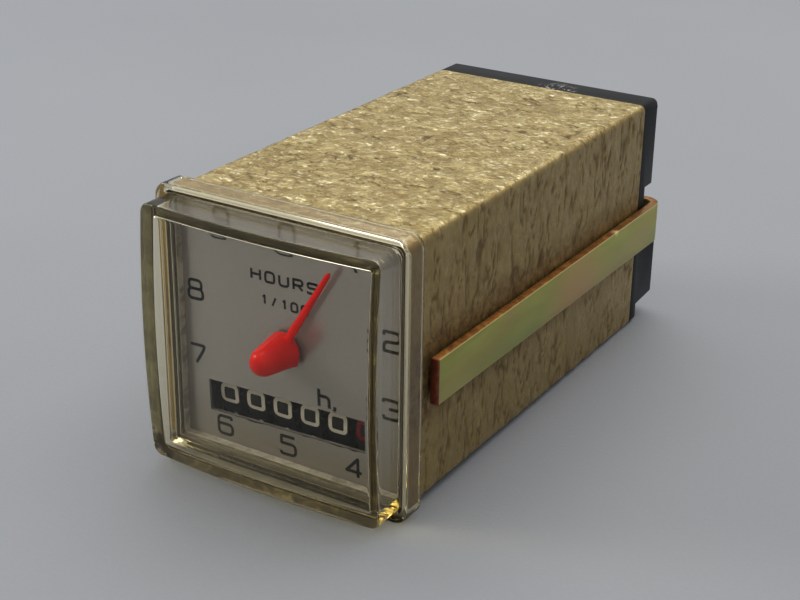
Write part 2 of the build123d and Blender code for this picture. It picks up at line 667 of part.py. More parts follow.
# ---- rear pillars: tie the motor plate to the rear block ----
with BuildPart() as rear_pillars:
    for rear, depth, height in REAR_SCREWS:
        with BuildSketch(across(motor_rear)):
            with Locations((-PILLAR_OFFSET, height), (PILLAR_OFFSET, height)):
                Circle(REAR_PILLAR_RADIUS)
        extrude(amount=-(CASE_REAR - motor_rear))
        with BuildSketch(across(CASE_REAR)):
            with Locations((-PILLAR_OFFSET, height), (PILLAR_OFFSET, height)):
                Circle(REAR_SHANK_RADIUS)
        extrude(amount=REAR_TAP_DEPTH, mode=Mode.SUBTRACT)
rear_pillars.part.label = "rear_pillars"
export_step(rear_pillars.part, "parts/rear_pillars.step")

# ---- frame screws: two cheese-head screws in the front plate ----
with BuildPart() as frame_screws:
    with BuildSketch(across(FRONT_PLATE_Y - FRAME_HEAD_DEPTH)):
        with Locations((-PILLAR_OFFSET, PILLAR_OFFSET), (PILLAR_OFFSET, PILLAR_OFFSET)):
            Circle(FRAME_HEAD_RADIUS)
    extrude(amount=-FRAME_HEAD_DEPTH)
    with BuildSketch(across(FRONT_PLATE_Y)):
        with Locations((-PILLAR_OFFSET, PILLAR_OFFSET), (PILLAR_OFFSET, PILLAR_OFFSET)):
            Circle(FRAME_SCREW_RADIUS)
    extrude(amount=-FRAME_SCREW_LENGTH)
    with BuildSketch(across(FRONT_PLATE_Y - FRAME_HEAD_DEPTH)):
        with Locations((-PILLAR_OFFSET, PILLAR_OFFSET), (PILLAR_OFFSET, PILLAR_OFFSET)):
            Rectangle(2 * FRAME_HEAD_RADIUS, FRAME_SLOT, rotation=FRAME_SLOT_ANGLE)
    extrude(amount=-FRAME_SLOT, mode=Mode.SUBTRACT)
frame_screws.part.label = "frame_screws"
export_step(frame_screws.part, "parts/frame_screws.step")

# ---- pointer bush: flanged brass bearing in the front plate ----
with BuildPart() as pointer_bush:
    with BuildSketch(across(FRONT_PLATE_Y - BUSH_FLANGE)):
        Circle(BUSH_FLANGE_RADIUS)
    extrude(amount=-BUSH_FLANGE)
    with BuildSketch(across(FRONT_PLATE_Y)):
        Circle(BUSH_RADIUS)
    extrude(amount=-BUSH_LENGTH)
    with BuildSketch(across(FRONT_PLATE_Y - BUSH_FLANGE)):
        Circle(ARBOR_RADIUS + RUNNING)
    extrude(amount=-(BUSH_FLANGE + BUSH_LENGTH), mode=Mode.SUBTRACT)
pointer_bush.part.label = "pointer_bush"
export_step(pointer_bush.part, "parts/pointer_bush.step")

# ---- counter cheeks: side plates that hold the drum, transfer and cross shafts ----
cheek_front = FRONT_PLATE_Y + PLATE_THICKNESS
for name, cheek_x in (("left_cheek", LEFT_CHEEK_X), ("right_cheek", RIGHT_CHEEK_X)):
    with BuildPart() as cheek:
        with BuildSketch(upright(cheek_x)):
            with Locations(((cheek_front + MIDDLE_PLATE_Y) / 2, (CHEEK_LOW + CHEEK_TOP) / 2)):
                Rectangle(MIDDLE_PLATE_Y - cheek_front, CHEEK_TOP - CHEEK_LOW)
            with Locations((DRUM_Y, DRUM_Z)):
                Circle(DRUM_SHAFT_RADIUS, mode=Mode.SUBTRACT)
            with Locations((transfer_y, DRUM_Z)):
                Circle(TRANSFER_SHAFT_RADIUS, mode=Mode.SUBTRACT)
            with Locations((cross_y, CROSS_Z)):
                Circle(CROSS_SHAFT_RADIUS + RUNNING, mode=Mode.SUBTRACT)
        extrude(amount=CHEEK_THICKNESS)
    cheek.part.label = name
    export_step(cheek.part, f"parts/{name}.step")

# ---- fixed shafts that the drums and the transfer pinions turn on ----
shaft_length = RIGHT_CHEEK_X + CHEEK_THICKNESS - LEFT_CHEEK_X
for name, shaft_y, radius in (
    ("drum_shaft", DRUM_Y, DRUM_SHAFT_RADIUS),
    ("transfer_shaft", transfer_y, TRANSFER_SHAFT_RADIUS),
):
    with BuildPart() as shaft:
        with BuildSketch(upright(LEFT_CHEEK_X)):
            with Locations((shaft_y, DRUM_Z)):
                Circle(radius)
        extrude(amount=shaft_length)
    shaft.part.label = name
    export_step(shaft.part, f"parts/{name}.step")

# ---- drums: five hour drums and the tenths drum at the right ----
# Each has a rim for the digits, a lock disc with two transfer teeth on its left side, and, on
# all but the tenths drum, a 20-tooth ring on its right side.
drum_names = [f"hour_drum_{place}" for place in range(DRUM_COUNT - 1, 0, -1)] + ["tenths_drum"]
ring_profile = toothed_disc(RING_TEETH, TRANSFER_MODULE, DRUM_SHAFT_RADIUS + RUNNING)
for number, name in enumerate(drum_names):
    rim_left = FIRST_DRUM_X + number * DRUM_PITCH - DRUM_RIM / 2
    with BuildPart() as drum:
        with BuildSketch(upright(rim_left)):
            with Locations((DRUM_Y, DRUM_Z)):
                Circle(DRUM_RADIUS)
                Circle(DRUM_SHAFT_RADIUS + RUNNING, mode=Mode.SUBTRACT)
        extrude(amount=DRUM_RIM)
        with BuildSketch(upright(rim_left - LOCK_WIDTH)):
            with Locations((DRUM_Y, DRUM_Z)):
                Circle(LOCK_RADIUS)
                for tooth in (1, 2):
                    with PolarLocations(LOCK_TOOTH_REACH, 1, start_angle=-tooth * 360 / RING_TEETH):
                        Rectangle(LOCK_TOOTH_LENGTH, TRANSFER_MODULE)
                Circle(DRUM_SHAFT_RADIUS + RUNNING, mode=Mode.SUBTRACT)
        extrude(amount=LOCK_WIDTH)
        if name != "tenths_drum":
            with BuildSketch(upright(rim_left + DRUM_RIM)):
                with Locations((DRUM_Y, DRUM_Z)):
                    add(ring_profile)
            extrude(amount=RING_WIDTH)
    drum.part.label = name
    export_step(drum.part, f"parts/{name}.step")

# ---- transfer pinions: one in each gap, in mesh with the ring of the drum on its left ----
pinion_tooth = meshed_tooth(0.0, RING_TEETH, 0.0, TRANSFER_TEETH)
pinion_profile = toothed_disc(
    TRANSFER_TEETH, TRANSFER_MODULE, TRANSFER_SHAFT_RADIUS + RUNNING, pinion_tooth
)
for number in range(DRUM_COUNT - 1):
    gap_left = FIRST_DRUM_X + number * DRUM_PITCH + DRUM_RIM / 2
    with BuildPart() as transfer_pinion:
        with BuildSketch(upright(gap_left + TRANSFER_GAP)):
            with Locations((transfer_y, DRUM_Z)):
                add(pinion_profile)
        extrude(amount=TRANSFER_WIDTH)
    name = f"transfer_pinion_{DRUM_COUNT - 1 - number}"
    transfer_pinion.part.label = name
    export_step(transfer_pinion.part, f"parts/{name}.step")

# ---- cross shaft, its worm wheel and the two equal gears that turn the tenths drum ----
with BuildPart() as cross_shaft:
    with BuildSketch(upright(LEFT_CHEEK_X)):
        with Locations((cross_y, CROSS_Z)):
            Circle(CROSS_SHAFT_RADIUS)
    extrude(amount=shaft_length)
cross_shaft.part.label = "cross_shaft"
export_step(cross_shaft.part, "parts/cross_shaft.step")

worm_tooth = meshed_tooth(90.0, 4, 0.0, WORM_TEETH) + 180 / WORM_TEETH
with BuildPart() as worm_wheel:
    with BuildSketch(upright(-WORM_WHEEL_WIDTH / 2)):
        with Locations((cross_y, CROSS_Z)):
            add(toothed_disc(WORM_TEETH, WORM_MODULE, CROSS_SHAFT_RADIUS, worm_tooth))
    extrude(amount=WORM_WHEEL_WIDTH)
    with BuildSketch(upright(WORM_WHEEL_WIDTH / 2)):
        with Locations((cross_y, CROSS_Z)):
            Circle(WORM_BOSS_RADIUS)
            Circle(CROSS_SHAFT_RADIUS, mode=Mode.SUBTRACT)
    extrude(amount=WORM_BOSS_LENGTH)
worm_wheel.part.label = "worm_wheel"
export_step(worm_wheel.part, "parts/worm_wheel.step")

cross_bearing = bearing_to((cross_y, CROSS_Z), (DRUM_Y, DRUM_Z))
with BuildPart() as cross_gear:
    with BuildSketch(upright(CROSS_GEAR_X)):
        with Locations((cross_y, CROSS_Z)):
            add(toothed_disc(CROSS_TEETH, CROSS_MODULE, CROSS_SHAFT_RADIUS, cross_bearing))
            with PolarLocations(CROSS_HOLES[0], HOLE_COUNT):
                Circle(CROSS_HOLES[1], mode=Mode.SUBTRACT)
    extrude(amount=WHEEL_THICKNESS)
cross_gear.part.label = "cross_gear"
export_step(cross_gear.part, "parts/cross_gear.step")

last_drum_right = FIRST_DRUM_X + (DRUM_COUNT - 1) * DRUM_PITCH + DRUM_RIM / 2
tenths_tooth = meshed_tooth(cross_bearing, CROSS_TEETH, cross_bearing, CROSS_TEETH)
with BuildPart() as tenths_gear:
    with BuildSketch(upright(CROSS_GEAR_X)):
        with Locations((DRUM_Y, DRUM_Z)):
            add(toothed_disc(CROSS_TEETH, CROSS_MODULE, DRUM_SHAFT_RADIUS + RUNNING, tenths_tooth))
    extrude(amount=WHEEL_THICKNESS)
    with BuildSketch(upright(CROSS_GEAR_X)):
        with Locations((DRUM_Y, DRUM_Z)):
            Circle(TENTHS_BOSS_RADIUS)
            Circle(DRUM_SHAFT_RADIUS + RUNNING, mode=Mode.SUBTRACT)
    extrude(amount=-(CROSS_GEAR_X - last_drum_right))
tenths_gear.part.label = "tenths_gear"
export_step(tenths_gear.part, "parts/tenths_gear.step")

# ---- going train: three arbors with cut pinions, their wheels, and the drive wheel ----
train = (
    ("first", first_axis, FIRST_TEETH, FIRST_LAYER, SECOND_LAYER, FINE_MODULE),
    ("second", second_axis, SECOND_TEETH, SECOND_LAYER, THIRD_LAYER, FINE_MODULE),
    ("third", third_axis, THIRD_TEETH, THIRD_LAYER, DRIVE_LAYER, DRIVE_MODULE),
)
last_axis = pointer_axis
last_teeth = ROTOR_TEETH
for name, axis, (wheel_teeth, pinion_teeth), wheel_y, pinion_y, pinion_module in train:
    bearing = bearing_to(last_axis, axis)
    wheel_tooth = meshed_tooth(bearing, last_teeth, 0.0, wheel_teeth)
    with BuildPart() as arbor:
        with BuildSketch(across(MIDDLE_PLATE_Y + END_PLAY)):
            with Locations(axis):
                Circle(ARBOR_FINE)
        extrude(amount=-(motor_rear - MIDDLE_PLATE_Y - 2 * END_PLAY))
        with BuildSketch(across(pinion_y - PINION_OVERHANG)):
            with Locations(axis):
                add(toothed_disc(pinion_teeth, pinion_module))
        extrude(amount=-(WHEEL_THICKNESS + 2 * PINION_OVERHANG))
    arbor.part.label = f"{name}_arbor"
    export_step(arbor.part, f"parts/{name}_arbor.step")
    with BuildPart() as wheel:
        with BuildSketch(across(wheel_y)):
            with Locations(axis):
                add(toothed_disc(wheel_teeth, FINE_MODULE, ARBOR_FINE, wheel_tooth))
                with PolarLocations(WHEEL_HOLES[0], HOLE_COUNT):
                    Circle(WHEEL_HOLES[1], mode=Mode.SUBTRACT)
        extrude(amount=-WHEEL_THICKNESS)
    wheel.part.label = f"{name}_wheel"
    export_step(wheel.part, f"parts/{name}_wheel.step")
    last_axis = axis
    last_teeth = pinion_teeth

drive_tooth = meshed_tooth(bearing_to(third_axis, pointer_axis), THIRD_TEETH[1], 0.0, DRIVE_TEETH)
with BuildPart() as drive_wheel:
    with BuildSketch(across(DRIVE_LAYER)):
        add(toothed_disc(DRIVE_TEETH, DRIVE_MODULE, ARBOR_RADIUS + RUNNING, drive_tooth))
        with PolarLocations(DRIVE_HOLES[0], HOLE_COUNT):
            Circle(DRIVE_HOLES[1], mode=Mode.SUBTRACT)
    extrude(amount=-WHEEL_THICKNESS)
drive_wheel.part.label = "drive_wheel"
export_step(drive_wheel.part, "parts/drive_wheel.step")

# ---- motor: can, stator plate, pole ring, bobbin, winding, rotor and rear bearing ----
with BuildPart() as motor_can:
    with BuildSketch(across(CAN_FRONT)):
        Circle(CAN_RADIUS)
    extrude(amount=-(CAN_REAR - CAN_FRONT))
    with BuildSketch(across(CAN_FRONT)):
        Circle(CAN_RADIUS - CAN_WALL)
    extrude(amount=-(CAN_REAR - CAN_FRONT - CAN_WALL), mode=Mode.SUBTRACT)
    with BuildSketch(across(CAN_REAR)):
        Circle(BEARING_RADIUS)
        with Locations((-WIRE_X, WIRE_Z), (WIRE_X, WIRE_Z)):
            Circle(WIRE_RADIUS + WIRE_CLEARANCE)
    extrude(amount=CAN_WALL, mode=Mode.SUBTRACT)
motor_can.part.label = "motor_can"
export_step(motor_can.part, "parts/motor_can.step")

with BuildPart() as stator_plate:
    with BuildSketch(across(CAN_FRONT)):
        Circle(CAN_RADIUS - CAN_WALL)
        Circle(STATOR_BORE, mode=Mode.SUBTRACT)
    extrude(amount=-STATOR_THICKNESS)
stator_plate.part.label = "stator_plate"
export_step(stator_plate.part, "parts/stator_plate.step")

pole_front = CAN_FRONT + STATOR_THICKNESS
pole_rear = CAN_REAR - CAN_WALL
with BuildPart() as pole_ring:
    with BuildSketch(across(pole_front)):
        Circle(POLE_RADIUS + POLE_WALL)
        Circle(POLE_RADIUS, mode=Mode.SUBTRACT)
    extrude(amount=-(pole_rear - pole_front))
    with BuildSketch(across(pole_front + POLE_BAND)):
        with PolarLocations(POLE_RADIUS + POLE_WALL / 2, POLE_COUNT):
            Rectangle(2 * POLE_WALL, POLE_GAP)
    extrude(amount=-(pole_rear - pole_front - 2 * POLE_BAND), mode=Mode.SUBTRACT)
pole_ring.part.label = "pole_ring"
export_step(pole_ring.part, "parts/pole_ring.step")

with BuildPart() as coil_bobbin:
    with BuildSketch(across(BOBBIN_FRONT)):
        Circle(BOBBIN_OUTER)
        Circle(BOBBIN_INNER, mode=Mode.SUBTRACT)
    extrude(amount=-(BOBBIN_REAR - BOBBIN_FRONT))
    with BuildSketch(across(BOBBIN_FRONT + BOBBIN_WALL)):
        Circle(BOBBIN_OUTER)
        Circle(BOBBIN_INNER + BOBBIN_WALL, mode=Mode.SUBTRACT)
    extrude(amount=-(BOBBIN_REAR - BOBBIN_FRONT - 2 * BOBBIN_WALL), mode=Mode.SUBTRACT)
coil_bobbin.part.label = "coil_bobbin"
export_step(coil_bobbin.part, "parts/coil_bobbin.step")

with BuildPart() as coil_winding:
    with BuildSketch(across(BOBBIN_FRONT + BOBBIN_WALL)):
        Circle(WINDING_OUTER)
        Circle(BOBBIN_INNER + BOBBIN_WALL, mode=Mode.SUBTRACT)
    extrude(amount=-(BOBBIN_REAR - BOBBIN_FRONT - 2 * BOBBIN_WALL))
coil_winding.part.label = "coil_winding"
export_step(coil_winding.part, "parts/coil_winding.step")

with BuildPart() as rotor_magnet:
    with BuildSketch(across(ROTOR_FRONT)):
        Circle(ROTOR_RADIUS)
        Circle(ROTOR_SHAFT_RADIUS, mode=Mode.SUBTRACT)
    extrude(amount=-(ROTOR_REAR - ROTOR_FRONT))
rotor_magnet.part.label = "rotor_magnet"
export_step(rotor_magnet.part, "parts/rotor_magnet.step")

with BuildPart() as rotor_arbor:
    with BuildSketch(across(ROTOR_SHAFT_FRONT)):
        Circle(ROTOR_SHAFT_RADIUS)
    extrude(amount=-(ROTOR_SHAFT_REAR - ROTOR_SHAFT_FRONT))
    with BuildSketch(across(ROTOR_PINION_LAYER)):
        add(toothed_disc(ROTOR_TEETH, FINE_MODULE))
    extrude(amount=-ROTOR_PINION_LENGTH)
rotor_arbor.part.label = "rotor_arbor"
export_step(rotor_arbor.part, "parts/rotor_arbor.step")

with BuildPart() as rotor_bearing:
    with BuildSketch(across(CAN_REAR)):
        Circle(BEARING_RADIUS)
    extrude(amount=BEARING_DEPTH)
    with BuildSketch(across(CAN_REAR - BEARING_DEPTH)):
        Circle(ROTOR_SHAFT_RADIUS + RUNNING)
    extrude(amount=-(BEARING_DEPTH - BEARING_BLIND), mode=Mode.SUBTRACT)
rotor_bearing.part.label = "rotor_bearing"
export_step(rotor_bearing.part, "parts/rotor_bearing.step")

# ---- lead wires: from the motor's two outlets to the tails of the terminal blades ----
with BuildPart() as lead_wires:
    for side in (-1, 1):
        with BuildLine() as route:
            FilletPolyline(
                (side * WIRE_X, CAN_REAR - CAN_WALL - WIRE_INSET, WIRE_Z),
                (side * WIRE_X, CAN_REAR + WIRE_STRAIGHT, WIRE_Z),
                (side * POCKET_X, BLADE_FRONT - WIRE_STRAIGHT, POCKET_Z),
                (side * POCKET_X, BLADE_FRONT, POCKET_Z),
                radius=WIRE_BEND,
            )
        with BuildSketch(Plane(origin=route.line @ 0, z_dir=route.line % 0)):
            Circle(WIRE_RADIUS)
        sweep(path=route.line)
lead_wires.part.label = "lead_wires"
export_step(lead_wires.part, "parts/lead_wires.step")
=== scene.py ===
import math

import bmesh
import bpy
from mathutils import Matrix, Vector, noise


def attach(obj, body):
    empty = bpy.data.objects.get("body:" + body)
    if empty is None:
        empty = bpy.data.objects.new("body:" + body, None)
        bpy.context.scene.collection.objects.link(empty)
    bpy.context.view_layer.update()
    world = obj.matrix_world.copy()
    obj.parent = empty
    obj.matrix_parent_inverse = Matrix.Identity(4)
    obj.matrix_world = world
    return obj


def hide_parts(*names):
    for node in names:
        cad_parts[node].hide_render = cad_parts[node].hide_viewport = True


# Panel hour meter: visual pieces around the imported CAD. Shapes below are worked out in millimetres,
# in the frame of the CAD, and turned into metres when a mesh is made.

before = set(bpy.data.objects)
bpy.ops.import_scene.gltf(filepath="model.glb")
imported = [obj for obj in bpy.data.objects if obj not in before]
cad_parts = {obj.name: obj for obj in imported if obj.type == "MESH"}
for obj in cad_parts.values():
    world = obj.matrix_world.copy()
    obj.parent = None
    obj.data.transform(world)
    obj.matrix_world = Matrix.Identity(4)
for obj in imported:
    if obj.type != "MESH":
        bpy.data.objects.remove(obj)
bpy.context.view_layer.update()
MM = 0.001
scene = bpy.context.scene

CASE_HALF = 22.6
PANEL_LIP = -3.0
LENS_HALF = 22.35
CAVITY_HALF = 20.25
PAST = 0.03  # metres; any place past the sides of the object


# ---------------------------------------------------------------- materials

class Recipe:
    """One procedural material. Textures are placed by object coordinates, metres of the CAD frame."""

    def __init__(self, name):
        self.material = bpy.data.materials.new(name)
        self.material.use_nodes = True
        self.tree = self.material.node_tree
        self.shader = self.tree.nodes["Principled BSDF"]
        self.output = self.tree.nodes["Material Output"]
        self.place = self.tree.nodes.new("ShaderNodeTexCoord").outputs["Object"]

    def feed(self, socket, value):
        if isinstance(value, bpy.types.NodeSocket):
            self.tree.links.new(value, socket)
        else:
            socket.default_value = value

    def node(self, kind, inputs=None, **settings):
        made = self.tree.nodes.new("ShaderNode" + kind)
        for key, value in settings.items():
            setattr(made, key, value)
        for key, value in (inputs or {}).items():
            self.feed(made.inputs[key], value)
        return made

    def stretched(self, x, y, z):
        """Coordinates scaled by a factor along each axis."""
        return self.node("Mapping", {"Vector": self.place, "Scale": (x, y, z)}).outputs["Vector"]

    def noise(self, scale, detail=3.0, rough=0.5, warp=0.0, place=None):
        made = self.node("TexNoise", {"Vector": place or self.place, "Scale": scale, "Detail": detail,
                                      "Roughness": rough, "Distortion": warp})
        return made.outputs["Fac"]

    def ramp(self, factor, *stops):
        """Colour or grey level by factor. Each stop is (position, colour) or (position, level)."""
        made = self.node("ValToRGB", {"Fac": factor})
        elements = made.color_ramp.elements
        while len(elements) < len(stops):
            elements.new(0.5)
        for element, (position, colour) in zip(elements, stops):
            element.position = position
            grey = isinstance(colour, (int, float))
            element.color = (colour, colour, colour, 1.0) if grey else (*colour, 1.0)
        return made.outputs["Color"]

    def math(self, operation, first, second=0.0, clamp=False):
        return self.node("Math", {0: first, 1: second}, operation=operation, use_clamp=clamp).outputs[0]

    def blend(self, factor, first, second, mode="MIX"):
        made = self.node("Mix", data_type="RGBA", blend_type=mode)
        self.feed(made.inputs["Factor"], factor)
        for socket, value in ((made.inputs[6], first), (made.inputs[7], second)):
            self.feed(socket, (*value, 1.0) if isinstance(value, tuple) and len(value) == 3 else value)
        return made.outputs[2]

    def axes(self, source=None):
        """The X, Y and Z of the place, or of another vector."""
        return self.node("SeparateXYZ", {"Vector": source or self.place}).outputs

    def facing(self):
        """The X, Y and Z of the surface's normal."""
        return self.axes(self.node("TexCoord").outputs["Normal"])

    def product(self, first, second):
        return self.math("MULTIPLY", first, second)

    def band(self, value, low, high, soft):
        """1 between low and high, falling to 0 over soft on both sides."""
        rise = self.node("MapRange", {0: value, 1: low - soft, 2: low}, interpolation_type="SMOOTHSTEP")
        fall = self.node("MapRange", {0: value, 1: high, 2: high + soft, 3: 1.0, 4: 0.0},
                         interpolation_type="SMOOTHSTEP")
        return self.product(rise.outputs[0], fall.outputs[0])

    def spot(self, centre, reach):
        """1 at centre, 0 from reach on."""
        span = self.node("VectorMath", {0: self.place, 1: centre}, operation="DISTANCE").outputs["Value"]
        made = self.node("MapRange", {0: span, 1: 0.0, 2: reach, 3: 1.0, 4: 0.0},
                         interpolation_type="SMOOTHSTEP")
        return made.outputs[0]

    def bump(self, height, strength, distance, normal=None):
        inputs = {"Height": height, "Strength": strength, "Distance": distance}
        if normal is not None:
            inputs["Normal"] = normal
        return self.node("Bump", inputs).outputs["Normal"]

    def shade(self, **values):
        names = {"color": "Base Color", "metal": "Metallic", "rough": "Roughness", "normal": "Normal",
                 "ior": "IOR", "clear": "Transmission Weight", "specular": "Specular IOR Level",
                 "glare": "Specular Tint"}
        for key, value in values.items():
            plain = isinstance(value, tuple) and len(value) == 3
            self.feed(self.shader.inputs[names[key]], (*value, 1.0) if plain else value)
        return self.material


def grained(name, dark, light, metal, rough, grain=900.0, stretch=(1.0, 1.0, 1.0), specular=0.5):
    """General recipe for turned, punched or moulded parts: cloudy colour, fine grain in gloss and relief."""
    recipe = Recipe(name)
    cloud = recipe.noise(grain * 0.2, 4.0, 0.6, 0.4)
    fine = recipe.noise(grain, 3.0, 0.55, place=recipe.stretched(*stretch))
    tone = recipe.math("ADD", recipe.product(cloud, 0.6), recipe.product(fine, 0.4))
    colour = recipe.ramp(tone, (0.3, dark), (0.7, light))
    gloss = recipe.ramp(fine, (0.25, rough * 0.75), (0.8, min(1.0, rough * 1.3)))
    normal = recipe.bump(fine, 0.35, 0.00002)
    return recipe.shade(color=colour, metal=metal, rough=gloss, normal=normal, specular=specular)


def clear_material(name, surface, tint, density, scratches, haze):
    """Aged clear plastic: polished, yellowed through its depth, with faint moulding waves, fine scratches and
    a top side that is rubbed dull. Shadow rays pass through it."""
    recipe = Recipe(name)
    waves = recipe.noise(60.0, 2.0, 0.5)
    marks = recipe.noise(1400.0, 4.0, 0.7, place=recipe.stretched(1.0, 0.12, 1.0))
    gloss = recipe.ramp(marks, (0.62, 0.012), (0.82, scratches))
    rubbed = recipe.ramp(recipe.noise(600.0, 4.0, 0.6, place=recipe.stretched(1.0, 0.08, 0.08)),
                         (0.3, haze * 0.85), (0.7, haze * 1.15))
    top = recipe.band(recipe.axes()["Z"], (LENS_HALF - 0.1) * MM, PAST, 0.0001)
    gloss = recipe.blend(top, gloss, rubbed)
    normal = recipe.bump(waves, 0.25, 0.00004)
    recipe.shade(color=surface, rough=gloss, normal=normal, ior=1.49, clear=1.0, glare=(0.3, 0.3, 0.3))
    shadow = recipe.node("LightPath").outputs["Is Shadow Ray"]
    through = recipe.node("BsdfTransparent", {"Color": (0.97, 0.96, 0.93, 1.0)}).outputs["BSDF"]
    mixed = recipe.node("MixShader", {0: shadow, 1: recipe.shader.outputs["BSDF"], 2: through})
    recipe.tree.links.new(mixed.outputs[0], recipe.output.inputs["Surface"])
    inside = recipe.node("VolumeAbsorption", {"Color": (*tint, 1.0), "Density": density})
    recipe.tree.links.new(inside.outputs[0], recipe.output.inputs["Volume"])
    return recipe.material


def gold_material():
    """Hammered gold-bronze lacquer: painted highlights as pale clusters and glints, painted shade in the creases
    and under the ring, grime on the sides by the strap. The sides are calmer than the top and painted darker and
    browner as shade."""
    recipe = Recipe("hammered_gold")
    # painted shade, kept on the sleeve: the creases, the front end under the ring and the inside
    depth = recipe.node("Attribute", attribute_name="crease").outputs["Fac"]
    along = recipe.stretched(0.8, 1.0, 0.55)
    fine = recipe.noise(820.0, 5.0, 0.62, 0.7, place=along)
    cloud = recipe.noise(210.0, 4.0, 0.6, 0.5)
    clusters = recipe.noise(300.0, 3.0, 0.6, 0.8, place=along)
    specks = recipe.noise(1150.0, 3.0, 0.55, 0.5, place=along)
    place = recipe.axes()
    side = recipe.band(recipe.math("ABSOLUTE", place["X"]), (CASE_HALF - 0.4) * MM, PAST, 0.0003)

    def less_on_side(value, share):
        return recipe.product(value, recipe.ramp(side, (0.0, 1.0), (1.0, share)))

    calm = recipe.math("ADD", less_on_side(recipe.math("SUBTRACT", fine, 0.5), 0.5), 0.5)
    base = recipe.ramp(calm, (0.32, (0.180, 0.120, 0.032)), (0.47, (0.285, 0.205, 0.060)),
                       (0.62, (0.41, 0.312, 0.106)))
    base = recipe.blend(recipe.ramp(cloud, (0.36, 0.45), (0.62, 0.0)), base, (0.24, 0.160, 0.055))
    # painted highlight: pale clusters where the glints gather, fainter on the sides
    pale_painted_light = less_on_side(recipe.ramp(clusters, (0.46, 0.0), (0.64, 0.5)), 0.3)
    base = recipe.blend(pale_painted_light, base, (0.60, 0.485, 0.22))
    # painted highlight: small glints, fewest on the sides and most in the pale clusters
    painted_glints = less_on_side(recipe.ramp(specks, (0.56, 0.0), (0.67, 0.85)), 0.12)
    painted_glints = recipe.product(painted_glints, recipe.ramp(clusters, (0.40, 0.3), (0.58, 1.0)))
    base = recipe.blend(painted_glints, base, (0.88, 0.79, 0.50))
    # painted shade: near black in the creases, under the ring and inside the sleeve
    base = recipe.blend(recipe.product(depth, 0.88), base, (0.05, 0.028, 0.009))
    # painted shade: the sides darker and browner than the top
    base = recipe.blend(recipe.product(side, 0.3), base, (0.29, 0.195, 0.085))

    by_strap = recipe.band(place["Z"], -0.0065, 0.0042, 0.0045)
    front = recipe.node("MapRange", {0: place["Y"], 1: 0.002, 2: 0.085, 3: 1.0, 4: 0.45}).outputs[0]
    patchy = recipe.ramp(recipe.noise(520.0, 4.0, 0.7, 0.6), (0.36, 0.15), (0.6, 1.0))
    dirt = recipe.product(recipe.product(side, by_strap), front)
    dirt = recipe.product(recipe.product(dirt, patchy), 0.85)
    base = recipe.blend(dirt, base, (0.095, 0.045, 0.013))

    gloss = recipe.ramp(fine, (0.3, 0.46), (0.75, 0.2))
    gloss = recipe.blend(recipe.math("MAXIMUM", dirt, depth), gloss, (0.7, 0.7, 0.7))
    grit = recipe.noise(3600.0, 3.0, 0.6, place=recipe.stretched(0.6, 1.0, 0.6))
    normal = recipe.bump(clusters, 0.8, 0.0004)
    normal = recipe.bump(calm, 1.0, 0.0003, normal)
    normal = recipe.bump(grit, 0.8, 0.0001, normal)
    return recipe.shade(color=base, metal=0.72, rough=gloss, normal=normal)


def zinc_material():
    """Yellow-passivated zinc: olive green with pink clouds, pale lines on the rounded edges that are a painted
    highlight, orange-brown upper and lower edges, rusty cut ends."""
    recipe = Recipe("yellow_passivate")
    streaks = recipe.noise(420.0, 4.0, 0.6, 0.5, place=recipe.stretched(1.0, 0.22, 1.0))
    broad = recipe.noise(46.0, 2.0, 0.5, 0.6, place=recipe.stretched(1.0, 0.6, 1.6))
    grime = recipe.noise(700.0, 4.0, 0.7)
    upright = recipe.math("ABSOLUTE", recipe.facing()["Z"])

    olive = recipe.ramp(streaks, (0.3, (0.27, 0.26, 0.065)), (0.55, (0.36, 0.36, 0.10)),
                        (0.8, (0.47, 0.47, 0.17)))
    clouds = recipe.ramp(broad, (0.2, (0.34, 0.42, 0.11)), (0.47, (0.41, 0.42, 0.11)),
                         (0.62, (0.49, 0.37, 0.14)), (0.72, (0.43, 0.39, 0.13)), (0.85, (0.38, 0.44, 0.18)))
    face = recipe.blend(0.45, olive, clouds)
    blush = recipe.spot((0.0246, 0.052, -0.0058), 0.017)
    face = recipe.blend(recipe.product(blush, 0.7), face, (0.57, 0.30, 0.15))
    # painted highlight: pale lines on the rounded edges
    wear_and_highlight = recipe.ramp(upright, (0.2, 0.0), (0.45, 0.9), (0.7, 0.0))
    face = recipe.blend(wear_and_highlight, face, (0.90, 0.72, 0.40))
    edge = recipe.ramp(upright, (0.6, 0.0), (0.85, 1.0))
    amber = recipe.ramp(grime, (0.3, (0.11, 0.036, 0.007)), (0.55, (0.31, 0.125, 0.022)),
                        (0.8, (0.50, 0.26, 0.08)))
    face = recipe.blend(edge, face, amber)
    end = recipe.band(recipe.axes()["Y"], -0.01, 0.0038, 0.0003)
    rust = recipe.ramp(grime, (0.3, (0.10, 0.018, 0.012)), (0.7, (0.26, 0.07, 0.04)))
    face = recipe.blend(end, face, rust)
    nick = recipe.spot((0.0243, 0.068, 0.0021), 0.0013)
    face = recipe.blend(nick, face, (0.85, 0.65, 0.30))

    gloss = recipe.ramp(streaks, (0.3, 0.34), (0.75, 0.52))
    return recipe.shade(color=face, metal=0.75, rough=gloss, normal=recipe.bump(streaks, 0.3, 0.00004))


